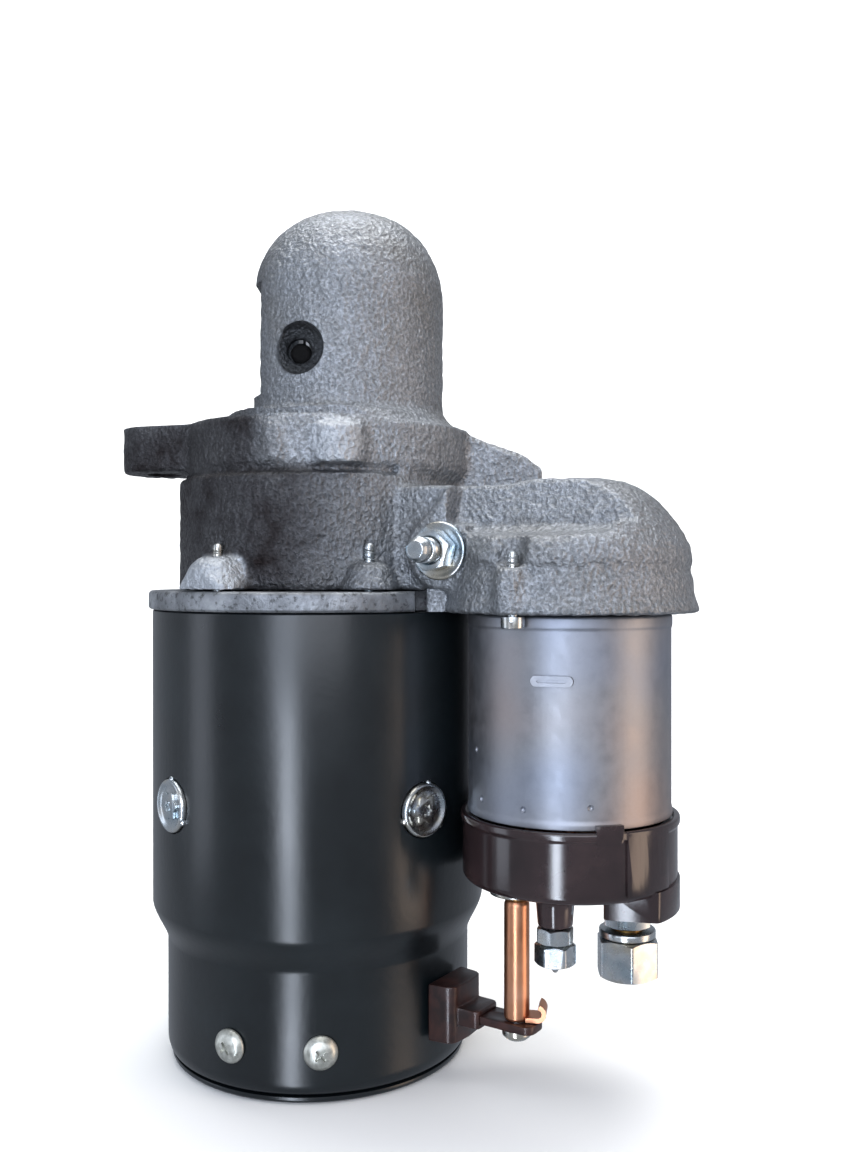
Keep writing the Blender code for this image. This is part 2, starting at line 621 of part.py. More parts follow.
def drive_end_housing(iron, solenoid, pivot):
    base = [(0, BODY_BOTTOM), (BODY_RADIUS, BODY_BOTTOM), (BODY_RADIUS, FLANGE_BOTTOM - 0.002)]
    base += [(0.0455, FLANGE_BOTTOM), (0.0455, FLANGE_TOP), (0, FLANGE_TOP)]
    housing = place("drive_end_housing", lathe(base), iron)
    add(housing, nose_shape(), (NOSE_X, 0, 0))
    for angle in EAR_ANGLES:
        add(housing, ear_shape(angle))
    pads = [turned(cylinder(0.0100, FLANGE_BOTTOM + 0.0006, FLANGE_TOP - 0.0006), at(0.0090, -0.0370))]
    pads.append(turned(cylinder(0.0045, FLANGE_BOTTOM + 0.0012, FLANGE_TOP - 0.0012, BOLT_SIDES),
                       at(-0.0080, -0.0418)))
    add(housing, islands(pads))
    bosses = [turned(cone(0.0098, 0.0050, BODY_BOTTOM, STUD_BOSS_TOP, BOLT_SIDES),
                     about_z(a) @ at(PLATE_STUD_CIRCLE, 0))
              for a in PLATE_STUD_ANGLES]
    add(housing, islands(bosses))
    bridge = box((PIVOT_REACH - 0.028 - SOLENOID_REACH, 0.0100), (-PIVOT_FACE, PIVOT_FACE),
                 (BODY_BOTTOM, 0.1900))
    add(housing, bridge, parent=solenoid)
    add(housing, hood_shape(), parent=solenoid)
    slope = [(0.030, 0.1860), (0.0765, 0.1860), (0.0765, 0.2005), (0.0520, 0.2110), (0.0300, 0.2110)]
    add(housing, turned(prism(slope, -0.0300, 0.0120), along_y()))
    reach = PIVOT_FACE + PIVOT_BOSS_RISE
    add(housing, turned(cylinder(PIVOT_BOSS_RADIUS, -reach, reach), along_y()), parent=pivot)
    # the cavities
    hollow = [(0, 0.1500), (BODY_BORE, 0.1500), (BODY_BORE, 0.1950), (CAVITY_RADIUS, 0.1950)]
    hollow += [(CAVITY_RADIUS, 0.2620), (0.0098, 0.2620), (0.0098, 0.2830), (0, 0.2830)]
    cut(housing, lathe(hollow))
    cut(housing, cylinder(HOOD_BORE, 0.1400, HOOD_CEILING, BIG_SIDES), parent=solenoid)
    channel = box((-0.0300, 0.0400), (-0.0095, 0.0095), (0.1400 - PIVOT_HEIGHT, 0.1860 - PIVOT_HEIGHT))
    cut(housing, channel, parent=pivot)
    cut(housing, cylinder(PLATE_RADIUS + 0.0006, 0.1400, BODY_BOTTOM, FRAME_SIDES))
    # pinion window on the left, the port in the nose's front, and the bolt holes
    cut(housing, box((-0.0400, -0.0150), (-0.0160, 0.0160), (WINDOW_BOTTOM, 0.2620)))
    cut(housing, box((-0.0400, -0.0212), (-0.0400, 0.0400), (WINDOW_BOTTOM, 0.2700)))
    port = lathe([(0, 0.0150), (0.0038, 0.0150), (0.0038, 0.0245), (0.0088, 0.0262), (0.0088, 0.0450),
                  (0, 0.0450)])
    cut(housing, turned(port, at(*PORT_PLACE) @ along_y()))
    bolts = [turned(cylinder(EAR_HOLE, 0.1900, 0.2200), about_z(a) @ at(EAR_REACH, 0))
             for a in EAR_ANGLES]
    bolts += [turned(cylinder(PLATE_STUD_HOLE, 0.1500, 0.1752, SMALL_SIDES),
                     about_z(a) @ at(PLATE_STUD_CIRCLE, 0))
              for a in PLATE_STUD_ANGLES]
    cut(housing, islands(bolts))
    cut(housing, turned(cylinder(PIVOT_HOLE, -0.0400, 0.0400, BOLT_SIDES), along_y()), parent=pivot)
    spot_faces = [turned(cylinder(0.0098, low, low + 0.0200, BOLT_SIDES), along_y())
                  for low in (reach, -reach - 0.0200)]
    cut(housing, islands(spot_faces), parent=pivot)
    pockets = [turned(cylinder(0.0058, 0.1630, 0.1716, BOLT_SIDES),
                      about_z(a) @ at(SCREW_RING + 0.0012, 0))
               for a in SCREW_TURNS]
    cut(housing, islands(pockets), parent=solenoid)
    holes = [turned(cylinder(0.0025, 0.1400, 0.1700, SMALL_SIDES), about_z(a) @ at(SCREW_RING, 0))
             for a in SCREW_TURNS]
    cut(housing, islands(holes), parent=solenoid)


# ---- shift lever

def shift_lever(steel, pivot):
    """A straight lever: a fork round the sleeve's groove, an eye in the plunger's slot."""
    tilt = (0, -LEVER_REST, 0)
    lever = place("shift_lever", turned(lever_plate(), along_y()), steel, rotation=tilt, parent=pivot)
    add(lever, turned(cylinder(0.0078, -0.0085, 0.0085, BOLT_SIDES), along_y()), rotation=tilt,
        parent=pivot)
    fork = [(-0.0640, 0.0190), (-0.0640, 0.0155), (-0.0410, 0.0155), (-0.0410, -0.0155),
            (-0.0640, -0.0155)]
    fork += [(-0.0640, -0.0190), (-0.0350, -0.0190), (-0.0350, 0.0190)]
    add(lever, prism(fork, -0.0036, 0.0036), rotation=tilt, parent=pivot)
    pins = [turned(cylinder(0.0036, low, low + 0.0050, SMALL_SIDES), at(-COLLAR_ARM, 0) @ along_y())
            for low in (-0.0162, 0.0112)]
    add(lever, islands(pins), rotation=tilt, parent=pivot)
    cut(lever, turned(cylinder(PIVOT_HOLE, -0.0100, 0.0100, BOLT_SIDES), along_y()), rotation=tilt,
        parent=pivot)


def lever_plate():
    """The lever's side outline, with a narrow neck next to the eye."""
    outline = [(-0.0380, -0.0042), (0, -0.0062), (0.0150, -0.0050), (0.0205, -0.0026)]
    outline += arc(0.0046, math.radians(-145), math.radians(145), 8, (PLUNGER_ARM, 0))
    outline += [(0.0205, 0.0026), (0.0150, 0.0050), (0, 0.0062), (-0.0380, 0.0042)]
    return prism(outline, -0.0030, 0.0030)


def pivot_bolt(zinc, pivot):
    """Hexagon head at the back, threaded end at the front."""
    face = PIVOT_SEAT
    bolt = place("pivot_bolt", turned(cylinder(PIVOT_BOLT_RADIUS, -face - 0.0008, 0.0450, BOLT_SIDES),
                                      along_y()),
                 zinc, parent=pivot)
    add(bolt, turned(hexagon(PIVOT_NUT_FLATS, -face - 0.0053, -face), along_y()), parent=pivot)


def pivot_hardware(zinc, pivot):
    face = PIVOT_SEAT
    washer = turned(tube(0.0041, 0.0090, face, face + 0.0016, BOLT_SIDES), along_y())
    place("pivot_washer", washer, zinc, parent=pivot)
    low = face + 0.0019
    nut = place("pivot_nut", turned(hexagon(PIVOT_NUT_FLATS, low, low + 0.0062), along_y()), zinc,
                parent=pivot)
    cut(nut, turned(cylinder(0.0041, low - 0.01, low + 0.02, BOLT_SIDES), along_y()), parent=pivot)


# ---- solenoid

def solenoid_can(steel, solenoid):
    wall = 0.0020
    profile = [(CAN_RADIUS - wall, CAN_BOTTOM), (CAN_RADIUS, CAN_BOTTOM), (CAN_RADIUS, CAN_TOP - 0.0008)]
    profile += [(CAN_RADIUS - 0.0008, CAN_TOP), (0.0115, CAN_TOP), (0.0115, CAN_TOP - 0.0052)]
    profile += [(CAN_RADIUS - wall, CAN_TOP - 0.0052)]
    can = place("solenoid_can", lathe(profile), steel, parent=solenoid)
    mark = turned(box((0.0300, CAN_RADIUS + 0.0012), (-0.0062, 0.0062), (0.1300, 0.1333)),
                  about_z(math.radians(-80)))
    add(can, mark, parent=solenoid)


def solenoid_coil(copper, solenoid):
    place("solenoid_coil", tube(0.0118, 0.0296, 0.0950, 0.1445, MID_SIDES), copper, parent=solenoid)


def solenoid_core(iron, solenoid):
    profile = [(0.0028, 0.0890), (0.0296, 0.0890), (0.0296, 0.0946), (0.0108, 0.0946), (0.0108, 0.1050)]
    place("solenoid_core", lathe(profile + [(0.0028, 0.1050)], MID_SIDES), iron, parent=solenoid)


def solenoid_cap(phenolic, solenoid):
    """The black moulded cup that carries the terminals."""
    top = CAN_BOTTOM - GAP
    profile = [(0, CAP_BOTTOM), (CAP_RADIUS - 0.0012, CAP_BOTTOM), (CAP_RADIUS, CAP_BOTTOM + 0.0012)]
    profile += [(CAP_RADIUS, top), (0.0298, top), (0.0298, CAP_FLOOR), (0, CAP_FLOOR)]
    cap = place("solenoid_cap", lathe(profile), phenolic, parent=solenoid)
    block = arc(CAP_RADIUS - 0.0004, math.radians(-36), math.radians(36), 8) + [(0.0120, 0.0201),
                                                                                (0.0120, -0.0201)]
    inward = math.atan2(BATTERY_XY[1] - SOLENOID_Y, BATTERY_XY[0] - SOLENOID_X) - SOLENOID_ANGLE
    add(cap, turned(prism(block, CAP_BLOCK_BOTTOM, CAP_BOTTOM + 0.001), about_z(inward)),
        parent=solenoid)
    cut(cap, cylinder(0.0088, 0.0500, CAP_BOTTOM, BOLT_SIDES), (*BATTERY_XY, 0))
    add(cap, cylinder(0.0060, 0.0630, CAP_BOTTOM + 0.001, BOLT_SIDES), (*SWITCH_XY, 0))
    studs = ((BATTERY_XY, BATTERY_RADIUS), (MOTOR_XY, MOTOR_RADIUS), (SWITCH_XY, SWITCH_RADIUS))
    for (x, y), radius in studs:
        cut(cap, cylinder(radius + STUD_CLEARANCE, 0.0500, 0.0800, BOLT_SIDES), (x, y, 0))


def terminal_stud(name, metal, place_xy, radius, low, head):
    profile = [(0, low), (radius - 0.0006, low), (radius, low + 0.0006), (radius, CAP_FLOOR + GAP)]
    profile += [(head, CAP_FLOOR + GAP), (head, STUD_HEAD_TOP), (0, STUD_HEAD_TOP)]
    place(name, lathe(profile, BOLT_SIDES), metal, (*place_xy, 0))


def terminal_nut(name, metal, place_xy, across_flats, bore, bottom, top):
    nut = place(name, hexagon(across_flats, bottom, top), metal, (*place_xy, 0), (0, 0, math.radians(12)))
    cut(nut, cylinder(bore, bottom - 0.01, top + 0.01, BOLT_SIDES), (*place_xy, 0))


def terminal_washer(name, metal, place_xy, bore, outer, bottom, top):
    place(name, tube(bore, outer, bottom, top, BOLT_SIDES), metal, (*place_xy, 0))


def contact_disc(copper, axis):
    """The disc that bridges the two heavy studs, on its push rod."""
    profile = [(0, 0.0780), (0.0030, 0.0780), (0.0030, 0.0788), (0.0148, 0.0788), (0.0148, 0.0808)]
    profile += [(0.0022, 0.0808), (0.0022, 0.1099), (0, 0.1099)]
    place("contact_disc", lathe(profile, MID_SIDES), copper, parent=axis)


def plunger(steel, axis):
    """The moving iron with its slot for the lever's eye and a collar for the spring."""
    profile = [(0, 0.1180), (0.0100, 0.1180), (PLUNGER_RADIUS, 0.1188), (PLUNGER_RADIUS, 0.1635)]
    profile += [(0.0130, 0.1635), (0.0130, 0.1650), (PLUNGER_RADIUS, 0.1650), (PLUNGER_RADIUS, 0.1838)]
    profile += [(0.0100, 0.1846), (0, 0.1846)]
    core = place("plunger", lathe(profile, MID_SIDES), steel, parent=axis)
    slot = box((-0.0200, 0.0200), (-0.0038, 0.0038), (EYE_HEIGHT - 0.0056, EYE_HEIGHT + 0.0056))
    cut(core, slot, parent=axis)


def return_spring(steel, axis):
    place("return_spring", coil(0.0124, 0.0007, 3, CAN_TOP + GAP, 0.1632, 12, 5), steel, parent=axis)


def solenoid_screw(number, turn, zinc, solenoid):
    profile = [(0, 0.1468), (0.0035, 0.1468), (0.0035, CAN_TOP), (SCREW_RADIUS, CAN_TOP)]
    profile += [(SCREW_RADIUS, 0.1690), (0, 0.1690)]
    bm = turned(lathe(profile, SMALL_SIDES), about_z(turn) @ at(SCREW_RING, 0))
    place("solenoid_screw_%d" % number, bm, zinc, parent=solenoid)


# ---- field terminal and link

def field_terminal(copper):
    """The flat strap that comes out of the frame to the link."""
    end = TERMINAL_REACH + 0.0075
    strap = box((0.0416, end), (-0.0050, 0.0050), (STRAP_BOTTOM, STRAP_TOP))
    place("field_terminal", turned(strap, about_z(TERMINAL_ANGLE)), copper)
    hole = cylinder(0.0027, 0.0100, 0.0300, SMALL_SIDES)
    cut(bpy.data.objects["field_terminal"], hole, (*MOTOR_XY, 0))


def terminal_insulator(phenolic):
    neck = box((0.0476, 0.0545), (-0.0072, 0.0072), (0.0189, 0.0259))
    insulator = place("terminal_insulator", turned(neck, about_z(TERMINAL_ANGLE)), phenolic)
    flange = box((0.0524, 0.0620), (-0.0100, 0.0100), (0.0140, 0.0320))
    add(insulator, turned(flange, about_z(TERMINAL_ANGLE)))
    slot = box((0.0400, 0.0700), (-0.0053, 0.0053), (STRAP_BOTTOM - GAP, STRAP_TOP + GAP))
    cut(insulator, turned(slot, about_z(TERMINAL_ANGLE)))


def copper_link(copper):
    """The round bar from the solenoid's motor terminal down to the field terminal."""
    low = STRAP_TOP + GAP
    profile = [(0, 0.0290), (0.0026, 0.0290), (0.0026, low), (0.0040, low), (0.0040, 0.0612), (0, 0.0612)]
    link = place("copper_link", lathe(profile, BOLT_SIDES), copper, (*MOTOR_XY, 0))
    tab = box((0.0032, 0.0085), (-0.0036, 0.0036), (low, low + 0.0022))
    add(link, tab, (*MOTOR_XY, 0), (0, 0, math.radians(-10)))
    curl = turned(cylinder(0.0022, -0.0036, 0.0036, SMALL_SIDES), at(0.0085, 0, low + 0.0022) @ along_y())
    add(link, curl, (*MOTOR_XY, 0), (0, 0, math.radians(-10)))


def link_screw(zinc):
    profile = [(0, 0.0176), (0.0034, 0.0176), (0.0046, 0.0188), (0.0046, STRAP_BOTTOM - GAP)]
    profile += [(0.0023, STRAP_BOTTOM - GAP), (0.0023, 0.0286), (0, 0.0286)]
    place("link_screw", lathe(profile, SMALL_SIDES), zinc, (*MOTOR_XY, 0))


# ---- the whole motor

def build():
    clear_scene()
    iron = finish("cast_iron", (0.19, 0.18, 0.17), 0.75, 0.6)
    paint = finish("black_paint", (0.012, 0.013, 0.015), 0.35, 0.0)
    zinc = finish("zinc_plate", (0.72, 0.74, 0.76), 0.3, 1.0)
    bare = finish("bare_steel", (0.55, 0.55, 0.56), 0.35, 1.0)
    machined = finish("machined_plate", (0.50, 0.50, 0.49), 0.45, 0.9)
    copper = finish("copper", (0.80, 0.36, 0.20), 0.25, 1.0)
    enamel = finish("wound_copper", (0.42, 0.16, 0.06), 0.45, 0.5)
    bronze = finish("bearing_bronze", (0.60, 0.42, 0.20), 0.4, 1.0)
    phenolic = finish("black_phenolic", (0.025, 0.018, 0.016), 0.25, 0.0)
    carbon = finish("brush_carbon", (0.05, 0.05, 0.05), 0.7, 0.0)

    solenoid = axis_empty("solenoid_axis", (SOLENOID_X, SOLENOID_Y, 0), SOLENOID_ANGLE)
    armature = axis_empty("armature_axis", (0, 0, 0))
    pivot_place = (PIVOT_REACH * math.cos(SOLENOID_ANGLE), PIVOT_REACH * math.sin(SOLENOID_ANGLE),
                   PIVOT_HEIGHT)
    pivot = axis_empty("pivot_axis", pivot_place, SOLENOID_ANGLE)

    field_frame(paint)
    rear_end_frame(paint)
    for i, angle in enumerate(POLE_ANGLES, 1):
        pole_shoe(i, angle, bare)
        pole_screw(i, angle, zinc)
    field_winding(enamel)
    for i, angle in enumerate(BOLT_ANGLES, 1):
        through_bolt(i, angle, zinc)

    brush_plate(bare)
    for i, angle in enumerate(BRUSH_ANGLES, 1):
        brush(i, angle, carbon)
    for i, angle in enumerate(BRUSH_SCREW_ANGLES[:2], 1):
        brush_screw(i, angle, zinc)

    armature_shaft(bare, armature)
    armature_core(bare, armature)
    armature_winding(enamel, armature)
    commutator(copper, armature)
    stop_ring(bare, armature)
    drive_clutch(bare, armature)
    pinion(bare, armature)

    centre_plate(machined)
    place("rear_bush", tube(SHAFT_END_RADIUS + GAP, BUSH_OUTER, 0.0048, 0.0185), bronze)
    place("centre_bush", tube(SPLINE_RADIUS + RUNNING_GAP, 0.0105, PLATE_BOTTOM, PLATE_TOP), bronze)
    place("nose_bush", tube(SHAFT_END_RADIUS + GAP, BUSH_OUTER, BUSH_BOTTOM, BUSH_TOP), bronze)
    for i, angle in enumerate(PLATE_STUD_ANGLES, 1):
        plate_stud(i, angle, zinc)
    drive_end_housing(iron, solenoid, pivot)

    shift_lever(bare, pivot)
    pivot_bolt(zinc, pivot)
    pivot_hardware(zinc, pivot)

    solenoid_can(bare, solenoid)
    solenoid_coil(enamel, solenoid)
    solenoid_core(bare, solenoid)
    solenoid_cap(phenolic, solenoid)
    contact_disc(copper, solenoid)
    plunger(bare, solenoid)
    return_spring(bare, solenoid)
    for i, turn in enumerate(SCREW_TURNS, 1):
        solenoid_screw(i, turn, zinc, solenoid)

    battery_bore = BATTERY_RADIUS + STUD_CLEARANCE
    motor_bore = MOTOR_RADIUS + STUD_CLEARANCE
    switch_bore = SWITCH_RADIUS + STUD_CLEARANCE
    terminal_stud("battery_stud", copper, BATTERY_XY, BATTERY_RADIUS, 0.0385, 0.0078)
    terminal_nut("battery_jam_nut", zinc, BATTERY_XY, 0.0140, battery_bore, 0.0532, 0.0590)
    terminal_washer("battery_washer", zinc, BATTERY_XY, battery_bore, 0.0088, 0.0500, 0.0522)
    terminal_nut("battery_nut", zinc, BATTERY_XY, 0.0175, battery_bore, 0.0374, 0.0497)
    terminal_stud("motor_stud", copper, MOTOR_XY, MOTOR_RADIUS, 0.0615, 0.0078)
    terminal_washer("motor_stud_washer", zinc, MOTOR_XY, motor_bore, 0.0085, 0.0630, 0.0650)
    terminal_stud("switch_stud", zinc, SWITCH_XY, SWITCH_RADIUS, 0.0440, 0.0040)
    terminal_nut("switch_nut_1", zinc, SWITCH_XY, 0.0100, switch_bore, 0.0530, 0.0576)
    terminal_nut("switch_nut_2", zinc, SWITCH_XY, 0.0110, switch_bore, 0.0466, 0.0527)

    field_terminal(copper)
    terminal_insulator(phenolic)
    copper_link(copper)
    link_screw(zinc)


build()
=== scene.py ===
import json
import math
import random

import bmesh
import bpy
from mathutils import Matrix, Vector, noise


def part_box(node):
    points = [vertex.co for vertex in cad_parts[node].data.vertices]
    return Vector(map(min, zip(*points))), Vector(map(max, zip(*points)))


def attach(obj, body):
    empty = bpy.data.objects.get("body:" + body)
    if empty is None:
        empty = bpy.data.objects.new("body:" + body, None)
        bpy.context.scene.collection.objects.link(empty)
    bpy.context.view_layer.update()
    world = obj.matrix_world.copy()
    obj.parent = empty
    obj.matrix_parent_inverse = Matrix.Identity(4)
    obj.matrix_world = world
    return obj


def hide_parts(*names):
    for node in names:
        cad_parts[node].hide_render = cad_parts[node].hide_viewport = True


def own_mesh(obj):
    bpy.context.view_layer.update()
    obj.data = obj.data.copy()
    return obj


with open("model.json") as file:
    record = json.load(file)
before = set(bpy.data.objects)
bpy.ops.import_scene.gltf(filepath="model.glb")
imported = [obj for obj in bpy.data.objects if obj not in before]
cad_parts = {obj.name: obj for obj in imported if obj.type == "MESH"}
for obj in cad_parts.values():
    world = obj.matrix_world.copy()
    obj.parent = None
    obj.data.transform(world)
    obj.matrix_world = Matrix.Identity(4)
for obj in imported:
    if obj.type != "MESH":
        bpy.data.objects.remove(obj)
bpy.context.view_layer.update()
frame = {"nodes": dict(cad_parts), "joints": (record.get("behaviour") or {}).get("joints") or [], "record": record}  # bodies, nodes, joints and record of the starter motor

nodeOf = frame["nodes"]


# small helpers

def hexColour(text):
    # sRGB hex to linear
    channels = [int(text[i:i + 2], 16) / 255 for i in (1, 3, 5)]
    linear = [c / 12.92 if c <= 0.04045 else ((c + 0.055) / 1.055) ** 2.4 for c in channels]
    return (*linear, 1)


def addNode(tree, kind, inputs=None, **settings):
    node = tree.nodes.new(kind)
    for name, value in settings.items():
        setattr(node, name, value)
    for key, value in (inputs or {}).items():
        if isinstance(value, bpy.types.NodeSocket):
            tree.links.new(value, node.inputs[key])
        else:
            node.inputs[key].default_value = value
    return node


def setRamp(node, stops):
    ramp = node.color_ramp
    while len(ramp.elements) < len(stops):
        ramp.elements.new(1)
    for element, (place, colour) in zip(ramp.elements, stops):
        element.position = place
        element.color = hexColour(colour) if isinstance(colour, str) else (colour, colour, colour, 1)
    return node


def startMaterial(name, **shaderValues):
    material = bpy.data.materials.new(name)
    material.use_nodes = True
    tree = material.node_tree
    shader = tree.nodes["Principled BSDF"]
    for key, value in shaderValues.items():
        shader.inputs[key.replace("_", " ")].default_value = value
    place = addNode(tree, "ShaderNodeTexCoord")
    return material, tree, shader, place.outputs["Object"]


def roughNoise(tree, place, scale, detail=4.0, rough=0.6, stretch=None):
    # noise on object coordinates; scale is in features per metre
    if stretch:
        place = addNode(tree, "ShaderNodeMapping", {"Vector": place, "Scale": stretch}).outputs[0]
    return addNode(tree, "ShaderNodeTexNoise",
                   {"Vector": place, "Scale": scale, "Detail": detail, "Roughness": rough}).outputs["Fac"]


def mixColour(tree, factor, first, second, blend="MIX"):
    return addNode(tree, "ShaderNodeMix", {0: factor, 6: first, 7: second},
                   data_type="RGBA", blend_type=blend).outputs[2]


def stretchRange(tree, value, low, high):
    # maps the middle of a noise to the range low to high
    return addNode(tree, "ShaderNodeMapRange",
                   {"Value": value, "From Min": 0.3, "From Max": 0.7, "To Min": low,
                    "To Max": high}).outputs[0]


def addBump(tree, shader, heights):
    # chains bumps; heights holds (height socket, strength, distance in metres)
    normal = None
    for height, strength, distance in heights:
        inputs = {"Height": height, "Strength": strength, "Distance": distance}
        if normal:
            inputs["Normal"] = normal
        normal = addNode(tree, "ShaderNodeBump", inputs).outputs[0]
    tree.links.new(normal, shader.inputs["Normal"])


# materials

def makeCastIron():
    # grey iron as it leaves a sand mould: coarse glinting grain, cool grey, with painted shade low on the
    # left, a painted highlight on a foot boss and on the flange pad, and painted shade in the oil port
    material, tree, shader, place = startMaterial("sandCastIron", Metallic=0.85)
    patches = roughNoise(tree, place, 34, 4, 0.6)
    sand = roughNoise(tree, place, 950, 3, 0.55)
    lumps = roughNoise(tree, place, 330, 3, 0.6)
    pits = addNode(tree, "ShaderNodeTexVoronoi", {"Vector": place, "Scale": 640.0},
                   feature="SMOOTH_F1").outputs["Distance"]
    grain = setRamp(addNode(tree, "ShaderNodeValToRGB", {0: sand}),
                    [(0.32, "#7c7f82"), (0.50, "#8d9094"), (0.68, "#a6aaaf")]).outputs[0]
    cloud = setRamp(addNode(tree, "ShaderNodeValToRGB", {0: patches}),
                    [(0.32, "#d8d5d0"), (0.55, "#f2f3f4")]).outputs[0]
    iron = mixColour(tree, 0.9, grain, cloud, "MULTIPLY")
    spot = addNode(tree, "ShaderNodeSeparateXYZ", {"Vector": place}).outputs

    def fade(axis, start, end):
        return addNode(tree, "ShaderNodeMapRange",
                       {"Value": spot[axis], "From Min": start, "From Max": end},
                       interpolation_type="SMOOTHSTEP").outputs[0]

    def times(first, second):
        return addNode(tree, "ShaderNodeMath", {0: first, 1: second}, operation="MULTIPLY",
                       use_clamp=True).outputs[0]

    # painted shade on the body's left, on the left ear of the flange and on the nose's left; painted highlight on the
    # left boss at the foot
    uneven = stretchRange(tree, patches, 0.60, 1.05)
    bodyShade = times(times(fade(0, 0.036, -0.010), fade(2, 0.1990, 0.1955)), fade(2, 0.1560, 0.1590))
    earShade = times(times(fade(0, -0.006, -0.020), fade(2, 0.1955, 0.1990)), fade(2, 0.2150, 0.2110))
    noseShade = times(fade(0, -0.012, -0.022), fade(2, 0.2110, 0.2150))
    paintedShade = addNode(tree, "ShaderNodeMath", {0: bodyShade, 1: earShade}, operation="ADD",
                    use_clamp=True).outputs[0]
    half = times(noseShade, 0.6)
    paintedShade = addNode(tree, "ShaderNodeMath", {0: paintedShade, 1: half}, operation="ADD",
                    use_clamp=True).outputs[0]
    # painted shade: near-black mixed in on the left of the body, the left ear and the nose's left
    colour = mixColour(tree, times(paintedShade, uneven), iron, hexColour("#1d1717"))
    # painted highlight: pale colour on the top of the left boss at the foot
    lump = addNode(tree, "ShaderNodeVectorMath", {0: place, 1: (-0.0316, -0.0451, 0.1620)},
                   operation="DISTANCE").outputs["Value"]
    nearLeftBoss = addNode(tree, "ShaderNodeMapRange", {"Value": lump, "From Min": 0.0142, "From Max": 0.0116},
                   interpolation_type="SMOOTHSTEP").outputs[0]
    wearAndHighlight = times(times(nearLeftBoss, fade(2, 0.1696, 0.1672)), 0.75)
    colour = mixColour(tree, wearAndHighlight, colour, hexColour("#bcc1c7"))
    # painted highlight on the flange's front pad, painted shade in the funnel of the oil port
    for centre, radius, share, shade in (((0.0102, -0.0490, 0.2046), 0.0092, 0.55, "#b4b8bd"),
                                         ((-0.0043, -0.0285, 0.2364), 0.0094, 0.80, "#26282b")):
        gap = addNode(tree, "ShaderNodeVectorMath", {0: place, 1: centre},
                      operation="DISTANCE").outputs["Value"]
        inside = addNode(tree, "ShaderNodeMapRange",
                         {"Value": gap, "From Min": radius, "From Max": radius - 0.0016},
                         interpolation_type="SMOOTHSTEP").outputs[0]
        colour = mixColour(tree, times(inside, share), colour, hexColour(shade))
    tree.links.new(colour, shader.inputs["Base Color"])
    tree.links.new(stretchRange(tree, sand, 0.58, 0.38), shader.inputs["Roughness"])
    addBump(tree, shader, [(lumps, 0.40, 0.0012), (sand, 0.9, 0.0008), (pits, 0.55, 0.0008)])
    return material


def makeMachinedIron():
    # iron plate sawn and faced: flat, light grey, rough edge with small dark pits
    material, tree, shader, place = startMaterial("facedIron", Metallic=0.85)
    marks = roughNoise(tree, place, 520, 4, 0.65)
    patches = roughNoise(tree, place, 90, 4, 0.6)
    base = setRamp(addNode(tree, "ShaderNodeValToRGB", {0: patches}),
                   [(0.32, "#66686b"), (0.50, "#808387"), (0.68, "#a2a5a9")])
    pits = setRamp(addNode(tree, "ShaderNodeValToRGB", {0: marks}),
                   [(0.34, "#8a8783"), (0.46, "#ffffff")])
    colour = mixColour(tree, 0.8, base.outputs[0], pits.outputs[0], "MULTIPLY")
    tree.links.new(colour, shader.inputs["Base Color"])
    tree.links.new(stretchRange(tree, marks, 0.60, 0.42), shader.inputs["Roughness"])
    addBump(tree, shader, [(patches, 0.5, 0.0010), (marks, 0.6, 0.0006)])
    return material


def makeBlackPaint():
    # satin black enamel sprayed on steel: faint orange peel, a little dust
    material, tree, shader, place = startMaterial("satinBlackEnamel", Metallic=0.0, Coat_Weight=0.15,
                                                  Coat_Roughness=0.20, IOR=1.45)
    peel = roughNoise(tree, place, 420, 2, 0.5)
    cloud = roughNoise(tree, place, 30, 5, 0.6)
    base = setRamp(addNode(tree, "ShaderNodeValToRGB", {0: cloud}),
                   [(0.30, "#090d10"), (0.55, "#0e1417"), (0.80, "#151c20")])
    tree.links.new(base.outputs[0], shader.inputs["Base Color"])
    tree.links.new(stretchRange(tree, cloud, 0.27, 0.36), shader.inputs["Roughness"])
    addBump(tree, shader, [(peel, 0.12, 0.0003)])
    return material


def makeZinc():
    # bright zinc plate on fasteners: bluish white with small dull spots
    material, tree, shader, place = startMaterial("brightZincPlate", Metallic=1.0)
    spots = roughNoise(tree, place, 380, 4, 0.65)
    tint = roughNoise(tree, place, 120, 2, 0.5)
    base = setRamp(addNode(tree, "ShaderNodeValToRGB", {0: tint}),
                   [(0.32, "#a5b1b8"), (0.50, "#c0c4c6"), (0.68, "#c2bcae")])
    tree.links.new(base.outputs[0], shader.inputs["Base Color"])
    tree.links.new(stretchRange(tree, spots, 0.22, 0.34), shader.inputs["Roughness"])
    addBump(tree, shader, [(spots, 0.10, 0.0002)])
    return material


def makeCanZinc():
    # drawn steel can, plated: soft vertical draw lines, faint blue and rose tints
    material, tree, shader, place = startMaterial("platedDrawnSteel", Metallic=1.0)
    tint = roughNoise(tree, place, 18, 2, 0.5)
    lines = roughNoise(tree, place, 600, 3, 0.6, (1.0, 1.0, 0.04))
    spots = roughNoise(tree, place, 240, 5, 0.7)
    base = setRamp(addNode(tree, "ShaderNodeValToRGB", {0: tint}),
                   [(0.30, "#969eae"), (0.48, "#a0a1a6"), (0.70, "#ad9f9a")])
    wearAndHighlight = setRamp(addNode(tree, "ShaderNodeValToRGB", {0: spots}),
                   [(0.35, "#cfcfcf"), (0.60, "#ececec")])
    colour = mixColour(tree, 0.5, base.outputs[0], wearAndHighlight.outputs[0], "MULTIPLY")
    tree.links.new(colour, shader.inputs["Base Color"])
    tree.links.new(stretchRange(tree, spots, 0.44, 0.56), shader.inputs["Roughness"])
    addBump(tree, shader, [(lines, 0.10, 0.0002), (spots, 0.08, 0.0003)])
    return material


